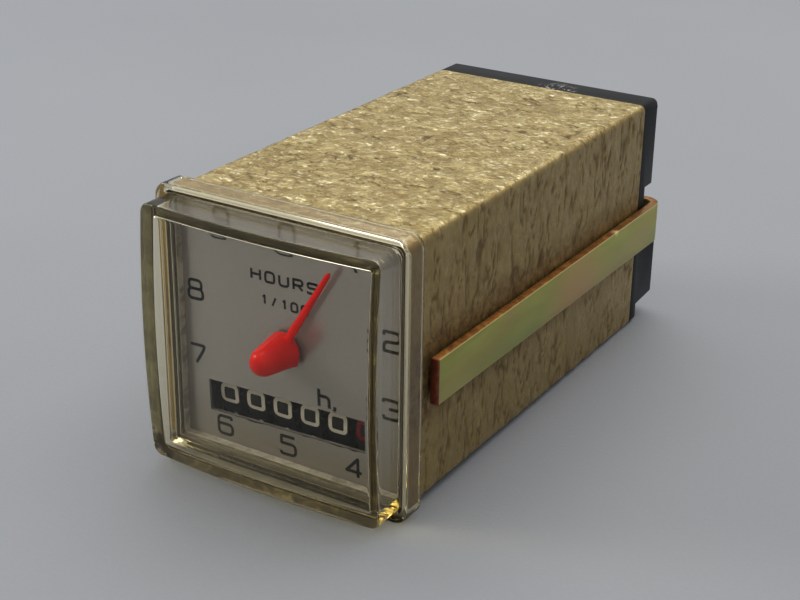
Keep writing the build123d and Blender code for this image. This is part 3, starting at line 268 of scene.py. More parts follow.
def dial_material():
    """Satin silver-grey dial lacquer with a very fine sparkle and faint clouds, brownish at the bottom."""
    recipe = Recipe("dial_silver")
    sparkle = recipe.noise(9000.0, 2.0, 0.6)
    cloud = recipe.noise(70.0, 3.0, 0.5)
    base = recipe.ramp(sparkle, (0.3, (0.291, 0.288, 0.316)), (0.7, (0.385, 0.381, 0.414)))
    base = recipe.blend(recipe.product(cloud, 0.25), base, (0.37, 0.35, 0.345))
    low = recipe.node("MapRange", {0: recipe.axes()["Z"], 1: -0.021, 2: -0.010, 3: 0.5, 4: 0.0})
    base = recipe.blend(low.outputs[0], base, (0.21, 0.17, 0.115))
    gloss = recipe.ramp(cloud, (0.3, 0.20), (0.7, 0.27))
    return recipe.shade(color=base, metal=0.6, rough=gloss, normal=recipe.bump(sparkle, 0.1, 0.00001))


def block_material():
    """Black moulded plastic, with painted shade making its top side blackest, and a few pale scuffs there."""
    recipe = Recipe("black_moulding")
    fine = recipe.noise(2600.0, 3.0, 0.6)
    cloud = recipe.noise(120.0, 4.0, 0.6, 0.4)
    scratches = recipe.noise(1100.0, 3.0, 0.6, 1.2, place=recipe.stretched(1.0, 0.5, 1.0))
    base = recipe.ramp(cloud, (0.3, (0.006, 0.006, 0.007)), (0.7, (0.014, 0.0143, 0.018)))
    # painted shade: the top side darker than the other sides
    top = recipe.ramp(recipe.facing()["Z"], (0.5, 0.0), (0.8, 0.8))
    base = recipe.blend(top, base, (0.002, 0.002, 0.0015))
    near = recipe.spot((0.0035, 0.0820, 0.0226), 0.0050)
    scuffs = recipe.product(near, recipe.ramp(scratches, (0.56, 0.0), (0.60, 1.0)))
    base = recipe.blend(scuffs, base, (0.62, 0.60, 0.55))
    gloss = recipe.ramp(cloud, (0.3, 0.34), (0.7, 0.46))
    return recipe.shade(color=base, rough=gloss, normal=recipe.bump(fine, 0.25, 0.00003), specular=0.11)


def seal_material():
    """Gasket seen through the edges of the lens: dark brown streaks along the top, mottled black at the right,
    grey-green at the left, brown at the bottom and the lower right, pale on its inner wall. The pale inner wall
    and the light grey left side are painted light, so that the dial beside them does not look shaded."""
    recipe = Recipe("lens_seal")
    patches = recipe.noise(420.0, 3.0, 0.6, 0.8)
    streaks = recipe.noise(520.0, 4.0, 0.6, 0.4, place=recipe.stretched(0.16, 1.0, 1.5))
    grain = recipe.noise(2500.0, 2.0, 0.5)
    place = recipe.axes()
    inner = (CAVITY_HALF + 0.05) * MM
    soft = 0.0003

    top = recipe.product(recipe.band(place["Z"], inner, PAST, soft),
                         recipe.band(place["X"], -PAST, 0.0155, 0.002))
    left = recipe.band(place["X"], -PAST, -inner, soft)
    low = recipe.band(place["Z"], -PAST, -inner, soft)
    right_low = recipe.product(recipe.band(place["Z"], -PAST, -0.006, 0.004),
                               recipe.band(place["X"], inner, PAST, soft))
    outward = recipe.math("MAXIMUM", recipe.math("ABSOLUTE", place["X"]),
                          recipe.math("ABSOLUTE", place["Z"]))
    rim = recipe.band(outward, 0.0216, PAST, 0.0002)
    wall = recipe.ramp(recipe.math("ABSOLUTE", recipe.facing()["Y"]), (0.4, 1.0), (0.6, 0.0))

    dark = recipe.ramp(patches, (0.51, (0.003, 0.003, 0.002)), (0.57, (0.06, 0.058, 0.025)),
                       (0.64, (0.50, 0.48, 0.26)))
    grey = recipe.ramp(patches, (0.3, (0.16, 0.16, 0.13)), (0.5, (0.28, 0.28, 0.22)),
                       (0.7, (0.42, 0.42, 0.33)))
    brown = recipe.ramp(patches, (0.44, (0.022, 0.016, 0.009)), (0.57, (0.11, 0.09, 0.05)),
                        (0.7, (0.34, 0.30, 0.20)))
    streaked = recipe.ramp(streaks, (0.40, (0.012, 0.010, 0.006)), (0.52, (0.075, 0.062, 0.035)),
                           (0.64, (0.30, 0.27, 0.18)))
    pale_painted_light = recipe.ramp(patches, (0.35, (0.22, 0.21, 0.19)), (0.65, (0.46, 0.45, 0.42)))

    base = recipe.blend(top, dark, streaked)
    base = recipe.blend(recipe.product(rim, 0.25), base, grey)
    # partly painted light: the left side made light grey so that the dial beside it looks lit
    base = recipe.blend(left, base, grey)
    base = recipe.blend(recipe.math("MAXIMUM", low, right_low), base, brown)
    # painted light: the inner wall pale, so that it and its reflection in the dial look lit
    base = recipe.blend(wall, base, pale_painted_light)
    return recipe.shade(color=base, rough=recipe.ramp(grain, (0.3, 0.45), (0.7, 0.65)),
                        normal=recipe.bump(patches, 0.4, 0.0001))


def red_material():
    """Glossy red moulding of the pointer."""
    recipe = Recipe("pointer_red")
    cloud = recipe.noise(260.0, 3.0, 0.5)
    fine = recipe.noise(3500.0, 2.0, 0.5)
    base = recipe.ramp(cloud, (0.3, (0.66, 0.004, 0.002)), (0.7, (0.76, 0.010, 0.006)))
    return recipe.shade(color=base, rough=recipe.ramp(fine, (0.3, 0.13), (0.7, 0.19)),
                        normal=recipe.bump(fine, 0.05, 0.00002), specular=0.15)


def ink_material(name, colour, wear_and_highlight):
    """Printed ink: slightly uneven, matt."""
    recipe = Recipe(name)
    uneven = recipe.noise(1800.0, 3.0, 0.6)
    base = recipe.ramp(uneven, (0.3, colour), (0.75, wear_and_highlight))
    return recipe.shade(color=base, rough=recipe.ramp(uneven, (0.3, 0.5), (0.7, 0.7)), specular=0.12)


CLEAR = clear_material("clear_lens", (0.97, 0.945, 0.87), (0.86, 0.79, 0.48), 90.0, 0.10, 0.15)
CLEAR_RING = clear_material("clear_ring", (0.94, 0.90, 0.76), (0.86, 0.77, 0.42), 90.0, 0.12, 0.06)
GOLD = gold_material()
ZINC = zinc_material()
DIAL = dial_material()
BLOCK = block_material()
SEAL = seal_material()
RED = red_material()
# painted shade: the dark strip in the gap between lens and ring
GAP_SHADE = grained("painted_gap_shade", (0.008, 0.007, 0.006), (0.05, 0.045, 0.03), 0.0, 0.5, 900.0)
DIAL_INK = ink_material("dial_ink", (0.004, 0.004, 0.005), (0.014, 0.014, 0.016))
WHITE_INK = ink_material("white_ink", (0.50, 0.485, 0.45), (0.60, 0.585, 0.55))
RED_INK = ink_material("red_ink", (0.13, 0.006, 0.006), (0.22, 0.015, 0.015))

SLOT_MATERIALS = {
    "gold_sheet": GOLD,
    "zinc_strap": ZINC,
    "dial_silver": DIAL,
    "black_moulding": BLOCK,
    "seal_black": SEAL,
    "pointer_red": RED,
    "plated_steel": grained("plated_steel", (0.46, 0.45, 0.40), (0.66, 0.65, 0.60), 1.0, 0.30, 1500.0),
    "bright_steel": grained("bright_steel", (0.50, 0.50, 0.51), (0.72, 0.72, 0.73), 1.0, 0.22, 1800.0, (3, 1, 3)),
    "brass": grained("brass", (0.50, 0.34, 0.12), (0.78, 0.60, 0.28), 1.0, 0.26, 1600.0, (3, 1, 3)),
    "tinned_brass": grained("tinned_brass", (0.50, 0.47, 0.40), (0.74, 0.72, 0.66), 1.0, 0.33, 1200.0,
                            (1, 0.3, 1)),
    "drum_black": grained("drum_black", (0.006, 0.006, 0.007), (0.014, 0.014, 0.016), 0.0, 0.5, 2500.0,
                          specular=0.2),
    "nylon": grained("nylon", (0.66, 0.63, 0.53), (0.84, 0.82, 0.74), 0.0, 0.45, 900.0),
    "plate_steel": grained("plate_steel", (0.44, 0.43, 0.40), (0.64, 0.63, 0.60), 1.0, 0.34, 1300.0, (0.3, 1, 2)),
    "plate_brass": grained("plate_brass", (0.46, 0.33, 0.13), (0.72, 0.57, 0.28), 1.0, 0.34, 1300.0, (0.3, 1, 2)),
    "magnet": grained("magnet", (0.03, 0.03, 0.033), (0.08, 0.08, 0.085), 0.2, 0.55, 2200.0),
    "copper_wire": grained("copper_wire", (0.34, 0.11, 0.035), (0.62, 0.26, 0.10), 0.9, 0.32, 5000.0, (1, 4, 1)),
    "bobbin_plastic": grained("bobbin_plastic", (0.58, 0.53, 0.38), (0.76, 0.71, 0.55), 0.0, 0.5, 1100.0),
    "wire_jacket": grained("wire_jacket", (0.03, 0.03, 0.14), (0.07, 0.07, 0.26), 0.0, 0.42, 1500.0),
}

NODE_SLOTS = {
    "plated_steel": "rear_screws clamp_screw rear_pillars frame_screws motor_can stator_plate pole_ring",
    "bright_steel": "pointer_arbor clutch_spring cross_shaft drum_shaft transfer_shaft third_arbor second_arbor "
                    "first_arbor rotor_arbor",
    "brass": "threaded_insert pointer_bush clutch_collar worm rotor_bearing frame_pillars second_wheel "
             "third_wheel drive_wheel",
    "tinned_brass": "terminal_blades",
    "black_moulding": "left_cheek right_cheek",
    "nylon": "worm_wheel cross_gear tenths_gear first_wheel "
             "transfer_pinion_1 transfer_pinion_2 transfer_pinion_3 transfer_pinion_4 transfer_pinion_5",
    "drum_black": "tenths_drum hour_drum_1 hour_drum_2 hour_drum_3 hour_drum_4 hour_drum_5",
    "plate_steel": "front_plate",
    "plate_brass": "middle_plate motor_plate",
    "magnet": "rotor_magnet",
    "copper_wire": "coil_winding",
    "bobbin_plastic": "coil_bobbin",
    "wire_jacket": "lead_wires",
    "dial_silver": "dial_plate",
    "seal_black": "lens_seal",
}


def dress(thing, material):
    """Gives an object one material in every slot it has."""
    if not thing.data.materials:
        thing.data.materials.append(material)
    for index in range(len(thing.data.materials)):
        thing.data.materials[index] = material


for slot_name, members in NODE_SLOTS.items():
    for member in members.split():
        dress(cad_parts[member], SLOT_MATERIALS[slot_name])


# ---------------------------------------------------------------- mesh helpers

def piece(name, points, faces, material, body, smooth=True):
    """A mesh piece from points in millimetres, closed and with its normals outwards, riding on a body."""
    mesh = bpy.data.meshes.new(name)
    mesh.from_pydata([Vector(point) * MM for point in points], [], faces)
    shell = bmesh.new()
    shell.from_mesh(mesh)
    bmesh.ops.recalc_face_normals(shell, faces=shell.faces)
    shell.to_mesh(mesh)
    shell.free()
    for polygon in mesh.polygons:
        polygon.use_smooth = smooth
    made = bpy.data.objects.new(name, mesh)
    scene.collection.objects.link(made)
    mesh.materials.append(material)
    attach(made, body)
    return made


def skin(rings, closed):
    """Points and quads of a loft through rings of equal length. closed joins the last ring to the first."""
    count = len(rings[0])
    points = [point for ring in rings for point in ring]
    faces = []
    for row in range(len(rings) if closed else len(rings) - 1):
        here = row * count
        there = (row + 1) % len(rings) * count
        for column in range(count):
            beside = (column + 1) % count
            faces.append((here + column, here + beside, there + beside, there + column))
    return points, faces


def fan(points, faces, first, count, centre):
    """Closes a ring that starts at point number first with triangles to a new centre point."""
    points.append(centre)
    for column in range(count):
        faces.append((first + column, first + (column + 1) % count, len(points) - 1))


def bend(start, corner, stop, steps):
    """Points of a short curve from start to stop, drawn towards the corner between them."""
    shares = [step / steps for step in range(steps + 1)]
    return [start * (1 - share) ** 2 + corner * 2 * share * (1 - share) + stop * share**2 for share in shares]


ARC_STEPS = 7
SIDE_SHARES = (0.004, 0.02, 0.1, 0.22, 0.36, 0.5, 0.64, 0.78, 0.9, 0.98, 0.996)


def rounded_square(half, corner):
    """(x, z) points round a square with rounded corners, the same number for every size."""
    points = []
    centre = half - corner
    for quarter in range(4):
        turn = Matrix.Rotation(quarter * math.pi / 2, 2)
        arc = []
        for step in range(ARC_STEPS + 1):
            angle = step / ARC_STEPS * math.pi / 2
            arc.append(Vector((centre + corner * math.cos(angle), centre + corner * math.sin(angle))))
        side = [arc[-1].lerp(Vector((-centre, half)), share) for share in SIDE_SHARES]
        points.extend(turn @ point for point in arc + side)
    return points


def level(half, corner, depth):
    """A ring of that outline at depth y."""
    return [(x, depth, z) for x, z in rounded_square(half, corner)]


# ---------------------------------------------------------------- clear front lens

LENS_CORNER = 1.6
CAVITY_CORNER = 0.55
LENS_TOP = -11.8
CROWN = 227.0
PANE = 1.8
OUTER_EDGE = 0.28
INNER_EDGE = 0.3
AIR = 0.04  # gap that keeps clear faces apart
FOOT = 0.12  # short first step up a wall, which keeps the bend at its foot tight
EDGE_STEPS = 6
WALL_SHARES = (0.5, 0.92)
DOME_SHARES = (0.985, 0.94, 0.86, 0.76, 0.66, 0.56, 0.46, 0.36, 0.26, 0.16, 0.07)


def domed(x, z, radius):
    """Depth of the lens's spherical face above the point (x, z)."""
    return LENS_TOP + CROWN - math.sqrt(radius**2 - x * x - z * z)


def dome_rings(half, corner, edge, radius, back):
    """Rings of one side of the lens: up the wall, over the edge and across the dome to near its centre."""
    outline = rounded_square(half, corner)
    rings = [level(half, corner, back), level(half, corner, back - FOOT)]
    for share in WALL_SHARES:
        rings.append([(x, back + (domed(x, z, radius) + edge - back) * share, z) for x, z in outline])
    for step in range(EDGE_STEPS + 1):
        angle = step / EDGE_STEPS * math.pi / 2
        inset = edge * (1 - math.cos(angle))
        lift = edge * (1 - math.sin(angle))
        rounded = rounded_square(half - inset, corner - inset)
        rings.append([(x, domed(x, z, radius) + lift, z) for x, z in rounded])
    rim = rounded_square(half - edge, corner - edge)
    for share in DOME_SHARES:
        rings.append([(x * share, domed(x * share, z * share, radius), z * share) for x, z in rim])
    return rings


def make_lens():
    rear = PANEL_LIP - AIR
    outer = dome_rings(LENS_HALF, LENS_CORNER, OUTER_EDGE, CROWN, rear - 0.08)
    inner = dome_rings(CAVITY_HALF, CAVITY_CORNER, INNER_EDGE, CROWN - PANE, rear - 0.05)
    lips = [level(LENS_HALF - 0.02, LENS_CORNER, rear - 0.02), level(LENS_HALF - 0.08, LENS_CORNER, rear),
            level(CAVITY_HALF + 0.06, CAVITY_CORNER, rear),
            level(CAVITY_HALF + 0.02, CAVITY_CORNER, rear - 0.02)]
    rings = outer[::-1] + lips + inner
    points, faces = skin(rings, False)
    count = len(rings[0])
    last = len(points) - count
    fan(points, faces, 0, count, (0, LENS_TOP, 0))
    fan(points, faces, last, count, (0, LENS_TOP + PANE, 0))
    made = piece("front_lens_clear", points, faces, CLEAR, "housing")
    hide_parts("front_lens")


# ---------------------------------------------------------------- bezel ring

BEND_STEPS = 5
BEZEL_HALF = 24.0
BEZEL_FRONT = -4.2
GAP_SHADE_DEPTHS = (-3.1, -3.95)
GAP_SHADE_HALVES = (22.36, 22.38)


def softened(profile):
    """Rounds the corners of a closed profile of (half, corner, depth, rounding) by short curves."""
    made = []
    for index, (half, corner, depth, rounding) in enumerate(profile):
        here = Vector((half, corner, depth))
        ends = []
        for other in (profile[index - 1], profile[(index + 1) % len(profile)]):
            span = Vector(other[:3]) - here
            reach = math.hypot(span.x, span.z)
            ends.append(here + span * min(0.45, rounding / reach))
        made += bend(ends[0], here, ends[1], BEND_STEPS)
    return made


def make_ring():
    hole = LENS_HALF + AIR
    hole_corner = LENS_CORNER + AIR
    recess = CASE_HALF + 0.05
    back = PANEL_LIP + 0.02
    profile = [
        (BEZEL_HALF, 2.5, 0.0, 0.2),
        (BEZEL_HALF, 2.5, BEZEL_FRONT, 0.75),
        (23.35, 1.9, BEZEL_FRONT, 0.12),
        (23.2, 1.75, BEZEL_FRONT + 0.15, 0.12),
        (hole + 0.22, 1.7, BEZEL_FRONT + 0.1, 0.12),
        (hole, hole_corner, BEZEL_FRONT + 0.25, 0.1),
        (hole, hole_corner, back, 0.05),
        (recess, 1.25, back, 0.05),
        (recess, 1.25, 0.0, 0.12),
    ]
    points, faces = skin([level(ring.x, ring.y, ring.z) for ring in softened(profile)], True)
    made = piece("bezel_ring_clear", points, faces, CLEAR_RING, "housing")
    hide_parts("bezel_flange")


def make_joint():
    """Thin dark strip in the gap between the lens and the ring, painted shade of the gap."""
    (rear, front), (inner, outer) = GAP_SHADE_DEPTHS, GAP_SHADE_HALVES
    rings = [level(half, LENS_CORNER + half - LENS_HALF, depth)
             for half, depth in ((inner, rear), (inner, front), (outer, front), (outer, rear))]
    points, faces = skin(rings, True)
    piece("gap_shade_strip", points, faces, GAP_SHADE, "housing", smooth=False)


# ---------------------------------------------------------------- hammered case

CASE_CORNER = 1.2
CASE_INNER = 22.02
CASE_FRONT = PANEL_LIP + 0.02
CASE_REAR = 81.5
CASE_INSET = 0.02  # keeps the smooth ends of the sheet clear of the ring and the block
GRID = 0.4
SIDE_STEPS = 107
CORNER_STEPS = 5
HILL_HEIGHT = 0.07
LUMP_HEIGHT = 0.09
CREASE_DEPTH = 0.12
WARP_SHIFTS = (Vector((9.3, 1.9, 7.4)), Vector((3.2, 8.8, 1.7)), Vector((5.6, 4.1, 9.9)))  # three unlike noises


def sleeve_outline(half, corner):
    """(x, z, outward x, outward z) at even steps round the sleeve."""
    made = []
    centre = half - corner
    for quarter in range(4):
        turn = Matrix.Rotation(quarter * math.pi / 2, 2)
        for step in range(CORNER_STEPS):
            angle = step / CORNER_STEPS * math.pi / 2
            out = Vector((math.cos(angle), math.sin(angle)))
            made.append((*(turn @ (Vector((centre, centre)) + out * corner)), *(turn @ out)))
        for step in range(SIDE_STEPS):
            along = centre - 2 * centre * step / SIDE_STEPS
            made.append((*(turn @ Vector((along, half))), *(turn @ Vector((0, 1)))))
    return made


def smooth_step(value, low, high):
    share = min(1.0, max(0.0, (value - low) / (high - low)))
    return share * share * (3 - 2 * share)


def crinkle(x, y, z):
    """Relief of the hammered finish in millimetres, and how deep in a crease the point lies, 0 to 1.
    Creases follow the zero lines of two noises, long and short, and each kind comes and goes in patches.
    There are more and wider ones on the sides."""
    even = Vector((x * 0.85, y * 0.85, z * 0.6))
    spot = Vector((x * 0.45, y, z * 0.24))
    warp = Vector([noise.noise(spot * 0.45 + shift) for shift in WARP_SHIFTS])
    hills = noise.noise(even * 0.5 + warp * 0.5)
    lumps = noise.noise(even * 1.1 + warp * 0.9)
    side = smooth_step(abs(x), CASE_HALF - 0.5, CASE_HALF - 0.1)

    line = abs(noise.noise(spot * 0.3 + warp * 0.55 + Vector((7.3, 1.1, 3.7))))
    patch = noise.noise(spot * 0.28 + Vector((4.4, 4.4, 9.1))) + 0.08 + 0.07 * side
    long_crease = (1 - smooth_step(line, 0.0, 0.075 + 0.015 * side)) * smooth_step(patch, -0.05, 0.22)

    line = abs(noise.noise(spot * 0.72 + warp * 0.5 + Vector((2.3, 8.1, 5.7))))
    patch = noise.noise(spot * 0.5 + Vector((14.4, 2.4, 0.1))) + 0.1 * side
    short_crease = (1 - smooth_step(line, 0.0, 0.11 + 0.03 * side)) * smooth_step(patch, -0.1, 0.25)

    crease = max(long_crease, short_crease * (0.75 + 0.2 * side))
    return HILL_HEIGHT * hills + LUMP_HEIGHT * lumps - CREASE_DEPTH * crease, crease


def make_case():
    outline = sleeve_outline(CASE_HALF, CASE_CORNER)
    inside = sleeve_outline(CASE_INNER, CASE_CORNER - CASE_HALF + CASE_INNER)
    rows = [CASE_FRONT + GRID * step for step in range(int((CASE_REAR - PANEL_LIP) / GRID))] + [CASE_REAR]
    rings, painted_shade = [], []
    for depth in rows:
        # the relief fades out towards both ends, and the front end is shaded where the ring covers it
        fade = smooth_step(depth, -0.2, 1.2) * (1 - smooth_step(depth, CASE_REAR - 0.6, CASE_REAR))
        covered = 1.0 if depth == rows[0] else 0.6 * (1 - smooth_step(depth, -0.4, 0.3))
        ring = []
        for x, z, out_x, out_z in outline:
            relief, crease = crinkle(x, depth, z) if fade else (0.0, 0.0)
            move = relief * fade - CASE_INSET
            ring.append((x + out_x * move, depth, z + out_z * move))
            painted_shade.append(max(crease * fade, covered))
        rings.append(ring)
    for depth in (CASE_REAR, CASE_FRONT):
        rings.append([(x, depth, z) for x, z, _, _ in inside])
        # the inside of the sleeve gets full painted shade
        painted_shade.extend([1.0] * len(inside))
    points, faces = skin(rings, True)
    made = piece("case_sleeve", points, faces, GOLD, "housing")
    held = made.data.attributes.new("crease", "FLOAT", "POINT")
    held.data.foreach_set("value", painted_shade)
    sharp = made.modifiers.new("lips", "EDGE_SPLIT")
    sharp.split_angle = math.radians(60)
    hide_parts("case_shell")


# ---------------------------------------------------------------- softened copies of CAD parts

def soft_copy(node, name, width, segments, material, body):
    """A copy of a CAD node with its edges rounded, standing for it."""
    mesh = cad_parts[node].data.copy()
    mesh.name = name
    shell = bmesh.new()
    shell.from_mesh(mesh)
    bmesh.ops.remove_doubles(shell, verts=shell.verts, dist=1e-6)
    bmesh.ops.dissolve_limit(shell, angle_limit=math.radians(1.0), verts=shell.verts, edges=shell.edges)
    shell.to_mesh(mesh)
    shell.free()
    made = bpy.data.objects.new(name, mesh)
    scene.collection.objects.link(made)
    for polygon in mesh.polygons:
        polygon.use_smooth = True
    dress(made, material)
    edges = made.modifiers.new("edges", "BEVEL")
    edges.width = width * MM
    edges.segments = segments
    edges.limit_method = "ANGLE"
    edges.angle_limit = math.radians(35)
    edges.harden_normals = True
    edges.use_clamp_overlap = True
    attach(made, body)
    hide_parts(node)


# ---------------------------------------------------------------- strokes of the numerals

# runs of (across, up) or (across, up, rounding share), in shares of the sign's width and height
GLYPHS = {
    "0": [[(0.5, 0), (1, 0), (1, 1), (0, 1), (0, 0), (0.5, 0)]],
    "1": [[(0.3, 0.78), (0.62, 1, 0), (0.62, 0)]],
    "2": [[(0, 0.8), (0, 1), (1, 1), (1, 0.52), (0, 0.46), (0, 0, 0), (1, 0)]],
    "3": [[(0, 0.84), (0, 1), (1, 1), (1, 0.53, 0.6), (0.35, 0.53)],
          [(0.8, 0.53), (1, 0.53, 0.6), (1, 0), (0, 0), (0, 0.18)]],
    "4": [[(0.76, 0), (0.76, 1, 0), (0, 0.28, 0), (1, 0.28)]],
    "5": [[(0.95, 1), (0.04, 1, 0), (0.04, 0.6, 0.1), (1, 0.6), (1, 0), (0, 0), (0, 0.16)]],
    "6": [[(0.95, 0.84), (0.95, 1), (0, 1), (0, 0), (1, 0), (1, 0.57), (0.05, 0.57)]],
    "7": [[(0, 1), (1, 1, 0.3), (0.9, 0.75), (0.34, 0)]],
    "8": [[(0.5, 0), (1, 0), (1, 0.53), (0, 0.53), (0, 0), (0.5, 0)],
          [(0.5, 0.53), (0.06, 0.53), (0.06, 1), (0.94, 1), (0.94, 0.53), (0.5, 0.53)]],
    "9": [[(0.05, 0.16), (0.05, 0), (1, 0), (1, 1), (0, 1), (0, 0.43), (0.95, 0.43)]],
    "I": [[(0.5, 0.8), (0.5, 0)]],
    "h": [[(0, 1), (0, 0)], [(0, 0.62, 0), (1, 0.62, 0.7), (1, 0)]],
    "H": [[(0, 1), (0, 0)], [(1, 1), (1, 0)], [(0, 0.5), (1, 0.5)]],
    "O": [[(0.5, 0), (1, 0), (1, 1), (0, 1), (0, 0), (0.5, 0)]],
    "U": [[(0, 1), (0, 0), (1, 0), (1, 1)]],
    "R": [[(0, 0), (0, 1, 0), (1, 1), (1, 0.45), (0, 0.45)], [(0.5, 0.45), (1, 0)]],
    "S": [[(0.97, 0.84), (0.97, 1), (0, 1), (0, 0.52), (1, 0.52), (1, 0), (0, 0), (0, 0.16)]],
    ",": [[(0.3, 0.12), (0.3, 0), (0.05, -0.14)]],
    "/": [[(0.2, 0), (0.8, 1)]],
}
ROUND_STEPS = 5
RUN_STEP = 0.3  # longest straight step of a stroke, so that it can follow a drum
FILM = 0.03  # thickness of the printed film
PRINT_TILT = math.radians(1.5)  # the printing is turned slightly anticlockwise


def rounded_path(points, roundings):
    """The path with its corners rounded, each by at most half of its shorter run."""
    made = [points[0]]
    for before, here, after, rounding in zip(points, points[1:], points[2:], roundings[1:]):
        reach = min(max(rounding, 0.02), (before - here).length / 2, (after - here).length / 2)
        start = here + (before - here).normalized() * reach
        stop = here + (after - here).normalized() * reach
        made += bend(start, here, stop, ROUND_STEPS)
    made.append(points[-1])
    divided = [made[0]]
    for point in made[1:]:
        start = divided[-1]
        steps = math.ceil((point - start).length / RUN_STEP)
        if (point - start).length > 1e-4:
            divided += [start.lerp(point, (step + 1) / steps) for step in range(steps)]
    return divided


def stroke(path, width):
    """Left and right outline of a stroke along the path."""
    left, right = [], []
    for index, point in enumerate(path):
        ahead = path[min(index + 1, len(path) - 1)] - path[max(index - 1, 0)]
        side = Vector((-ahead.y, ahead.x)).normalized() * width / 2
        left.append(point + side)
        right.append(point - side)
    return left, right


class Print:
    """Gathers printed strokes as thin closed solids. place(across, up, lift) gives a point."""

    def __init__(self):
        self.points = []
        self.faces = []

    def ribbon(self, left, right, place):
        start = len(self.points)
        for a, b in zip(left, right):
            self.points += [place(a.x, a.y, FILM), place(b.x, b.y, FILM), place(b.x, b.y, 0), place(a.x, a.y, 0)]
        for index in range(len(left) - 1):
            here = start + 4 * index
            for edge in range(4):
                beside = (edge + 1) % 4
                self.faces.append((here + edge, here + beside, here + 4 + beside, here + 4 + edge))
        end = len(self.points) - 4
        self.faces += [(start + 3, start + 2, start + 1, start), (end, end + 1, end + 2, end + 3)]

    def glyph(self, sign, width, height, thick, place, rounding):
        """One sign, centred on (0, 0) of place and turned by the tilt of the printing."""
        turn = Matrix.Rotation(PRINT_TILT, 2)
        for run in GLYPHS[sign]:
            path = [turn @ Vector(((spot[0] - 0.5) * (width - thick), (spot[1] - 0.5) * (height - thick)))
                    for spot in run]
            roundings = [rounding * (spot[2] if len(spot) > 2 else 1) for spot in run]
            self.ribbon(*stroke(rounded_path(path, roundings), thick), place)


DIAL_FACE = -1.5
NUMERALS = {"0": (0, 17.6), "1": (12.8, 17.6), "2": (18, 5.8), "3": (18, -5.8), "4": (12.8, -17.6),
            "5": (0, -17.6), "6": (-12.8, -17.6), "7": (-18, -5.8), "8": (-18, 5.8), "9": (-12.8, 17.6)}
# width, height, stroke, place on the dial, rounding
SIGNS = {"h": (2.5, 3.6, 0.58, (7.1, -6.95), 1.0), ",": (1.3, 3.6, 0.55, (9.3, -6.7), 0.1)}
# width, height, stroke, pitch, height on the dial, rounding
WORDS = {"HOURS": (2.1, 2.1, 0.42, 2.7, 11.4, 0.6), "1/100": (1.5, 1.8, 0.37, 1.95, 7.4, 0.45)}
WORDS_CENTRE = -0.3
WINDOW = (31.0, 5.5)
WINDOW_CENTRE = (-0.4, -12.05)
WINDOW_TILT = math.radians(1.9)
RAGGED_STEPS = 90


def on_dial(x, z):
    return lambda across, up, lift: (x + across, DIAL_FACE - 0.002 - lift, z + up)


def make_dial_print():
    made = Print()
    for sign, place in NUMERALS.items():
        made.glyph(sign, 3.0 if sign == "1" else 3.4, 3.8, 0.54, on_dial(*place), 0.85)
    for sign, (width, height, thick, place, rounding) in SIGNS.items():
        made.glyph(sign, width, height, thick, on_dial(*place), rounding)
    for word, (width, height, thick, pitch, up, rounding) in WORDS.items():
        for index, sign in enumerate(word):
            place = on_dial((index - len(word) // 2) * pitch + WORDS_CENTRE, up)
            made.glyph(sign, width, height, thick, place, rounding)

    # the black edge of the counter window, slightly ragged along its lower side
    left, right = [], []
    turn = Matrix.Rotation(WINDOW_TILT, 2)
    for step in range(RAGGED_STEPS + 1):
        x = WINDOW[0] * (step / RAGGED_STEPS - 0.5)
        wide = max(0.0, noise.noise(Vector((x * 0.55, 3.3, 1.7))))
        small = noise.noise(Vector((x * 2.1, 9.1, 4.2)))
        left.append(turn @ Vector((x, -WINDOW[1] / 2)))
        right.append(turn @ Vector((x, -WINDOW[1] / 2 - (0.08 + 0.4 * wide + 0.08 * small))))
    made.ribbon(left, right, on_dial(*WINDOW_CENTRE))
    piece("dial_printing", made.points, made.faces, DIAL_INK, "housing", smooth=False)


DRUM_RADIUS = 8.3
DRUM_CENTRE = (8.55, -12.1)
DRUM_FIRST_X = -13.1
DRUM_PITCH = 5.4
DRUMS = 6
DIGIT_SIZE = (3.6, 3.55)
DIGIT_STROKE = 0.68


def on_drum(x, turn):
    def place(across, up, lift):
        angle = turn - up / DRUM_RADIUS
        reach = DRUM_RADIUS + 0.004 + lift
        return x + across, DRUM_CENTRE[0] - reach * math.cos(angle), DRUM_CENTRE[1] - reach * math.sin(angle)
    return place


def make_digits():
    for index in range(DRUMS):
        made = Print()
        x = DRUM_FIRST_X + DRUM_PITCH * index
        shift = x * math.tan(WINDOW_TILT)
        for digit in range(10):
            place = on_drum(x, math.radians(36 * digit) - shift / DRUM_RADIUS)
            made.glyph("I" if digit == 1 else str(digit), *DIGIT_SIZE, DIGIT_STROKE, place, 0.75)
        number = DRUMS - 1 - index
        if number:
            name, body, ink = f"hour_digits_{number}", f"hour_drum_{number}", WHITE_INK
        else:
            name, body, ink = "tenths_digits", "tenths_group", RED_INK
        piece(name, made.points, made.faces, ink, body, smooth=False)


# ---------------------------------------------------------------- pointer

HUB_BACK = -2.2
# radius and depth, from the foot of the hub to its nose
HUB = ((2.0, -2.2), (2.98, -2.21), (3.11, -2.3), (3.15, -2.45), (3.02, -3.2), (2.85, -4.3), (2.68, -5.4),
       (2.52, -6.4), (2.39, -7.15), (2.29, -7.7), (2.11, -8.3), (1.79, -8.85), (1.36, -9.25), (0.87, -9.48),
       (0.4, -9.58))
HUB_TIP = -9.6
HUB_STEPS = 48
ARBOR_HOLE = 1.04
ARBOR_END = -6.9
NIB_ANGLE = math.radians(-38)
NIB_HEIGHT = 0.28
NIB_WIDTH = 0.16
NIB_FROM = 2.95  # the nib grows only where the hub is wider than this

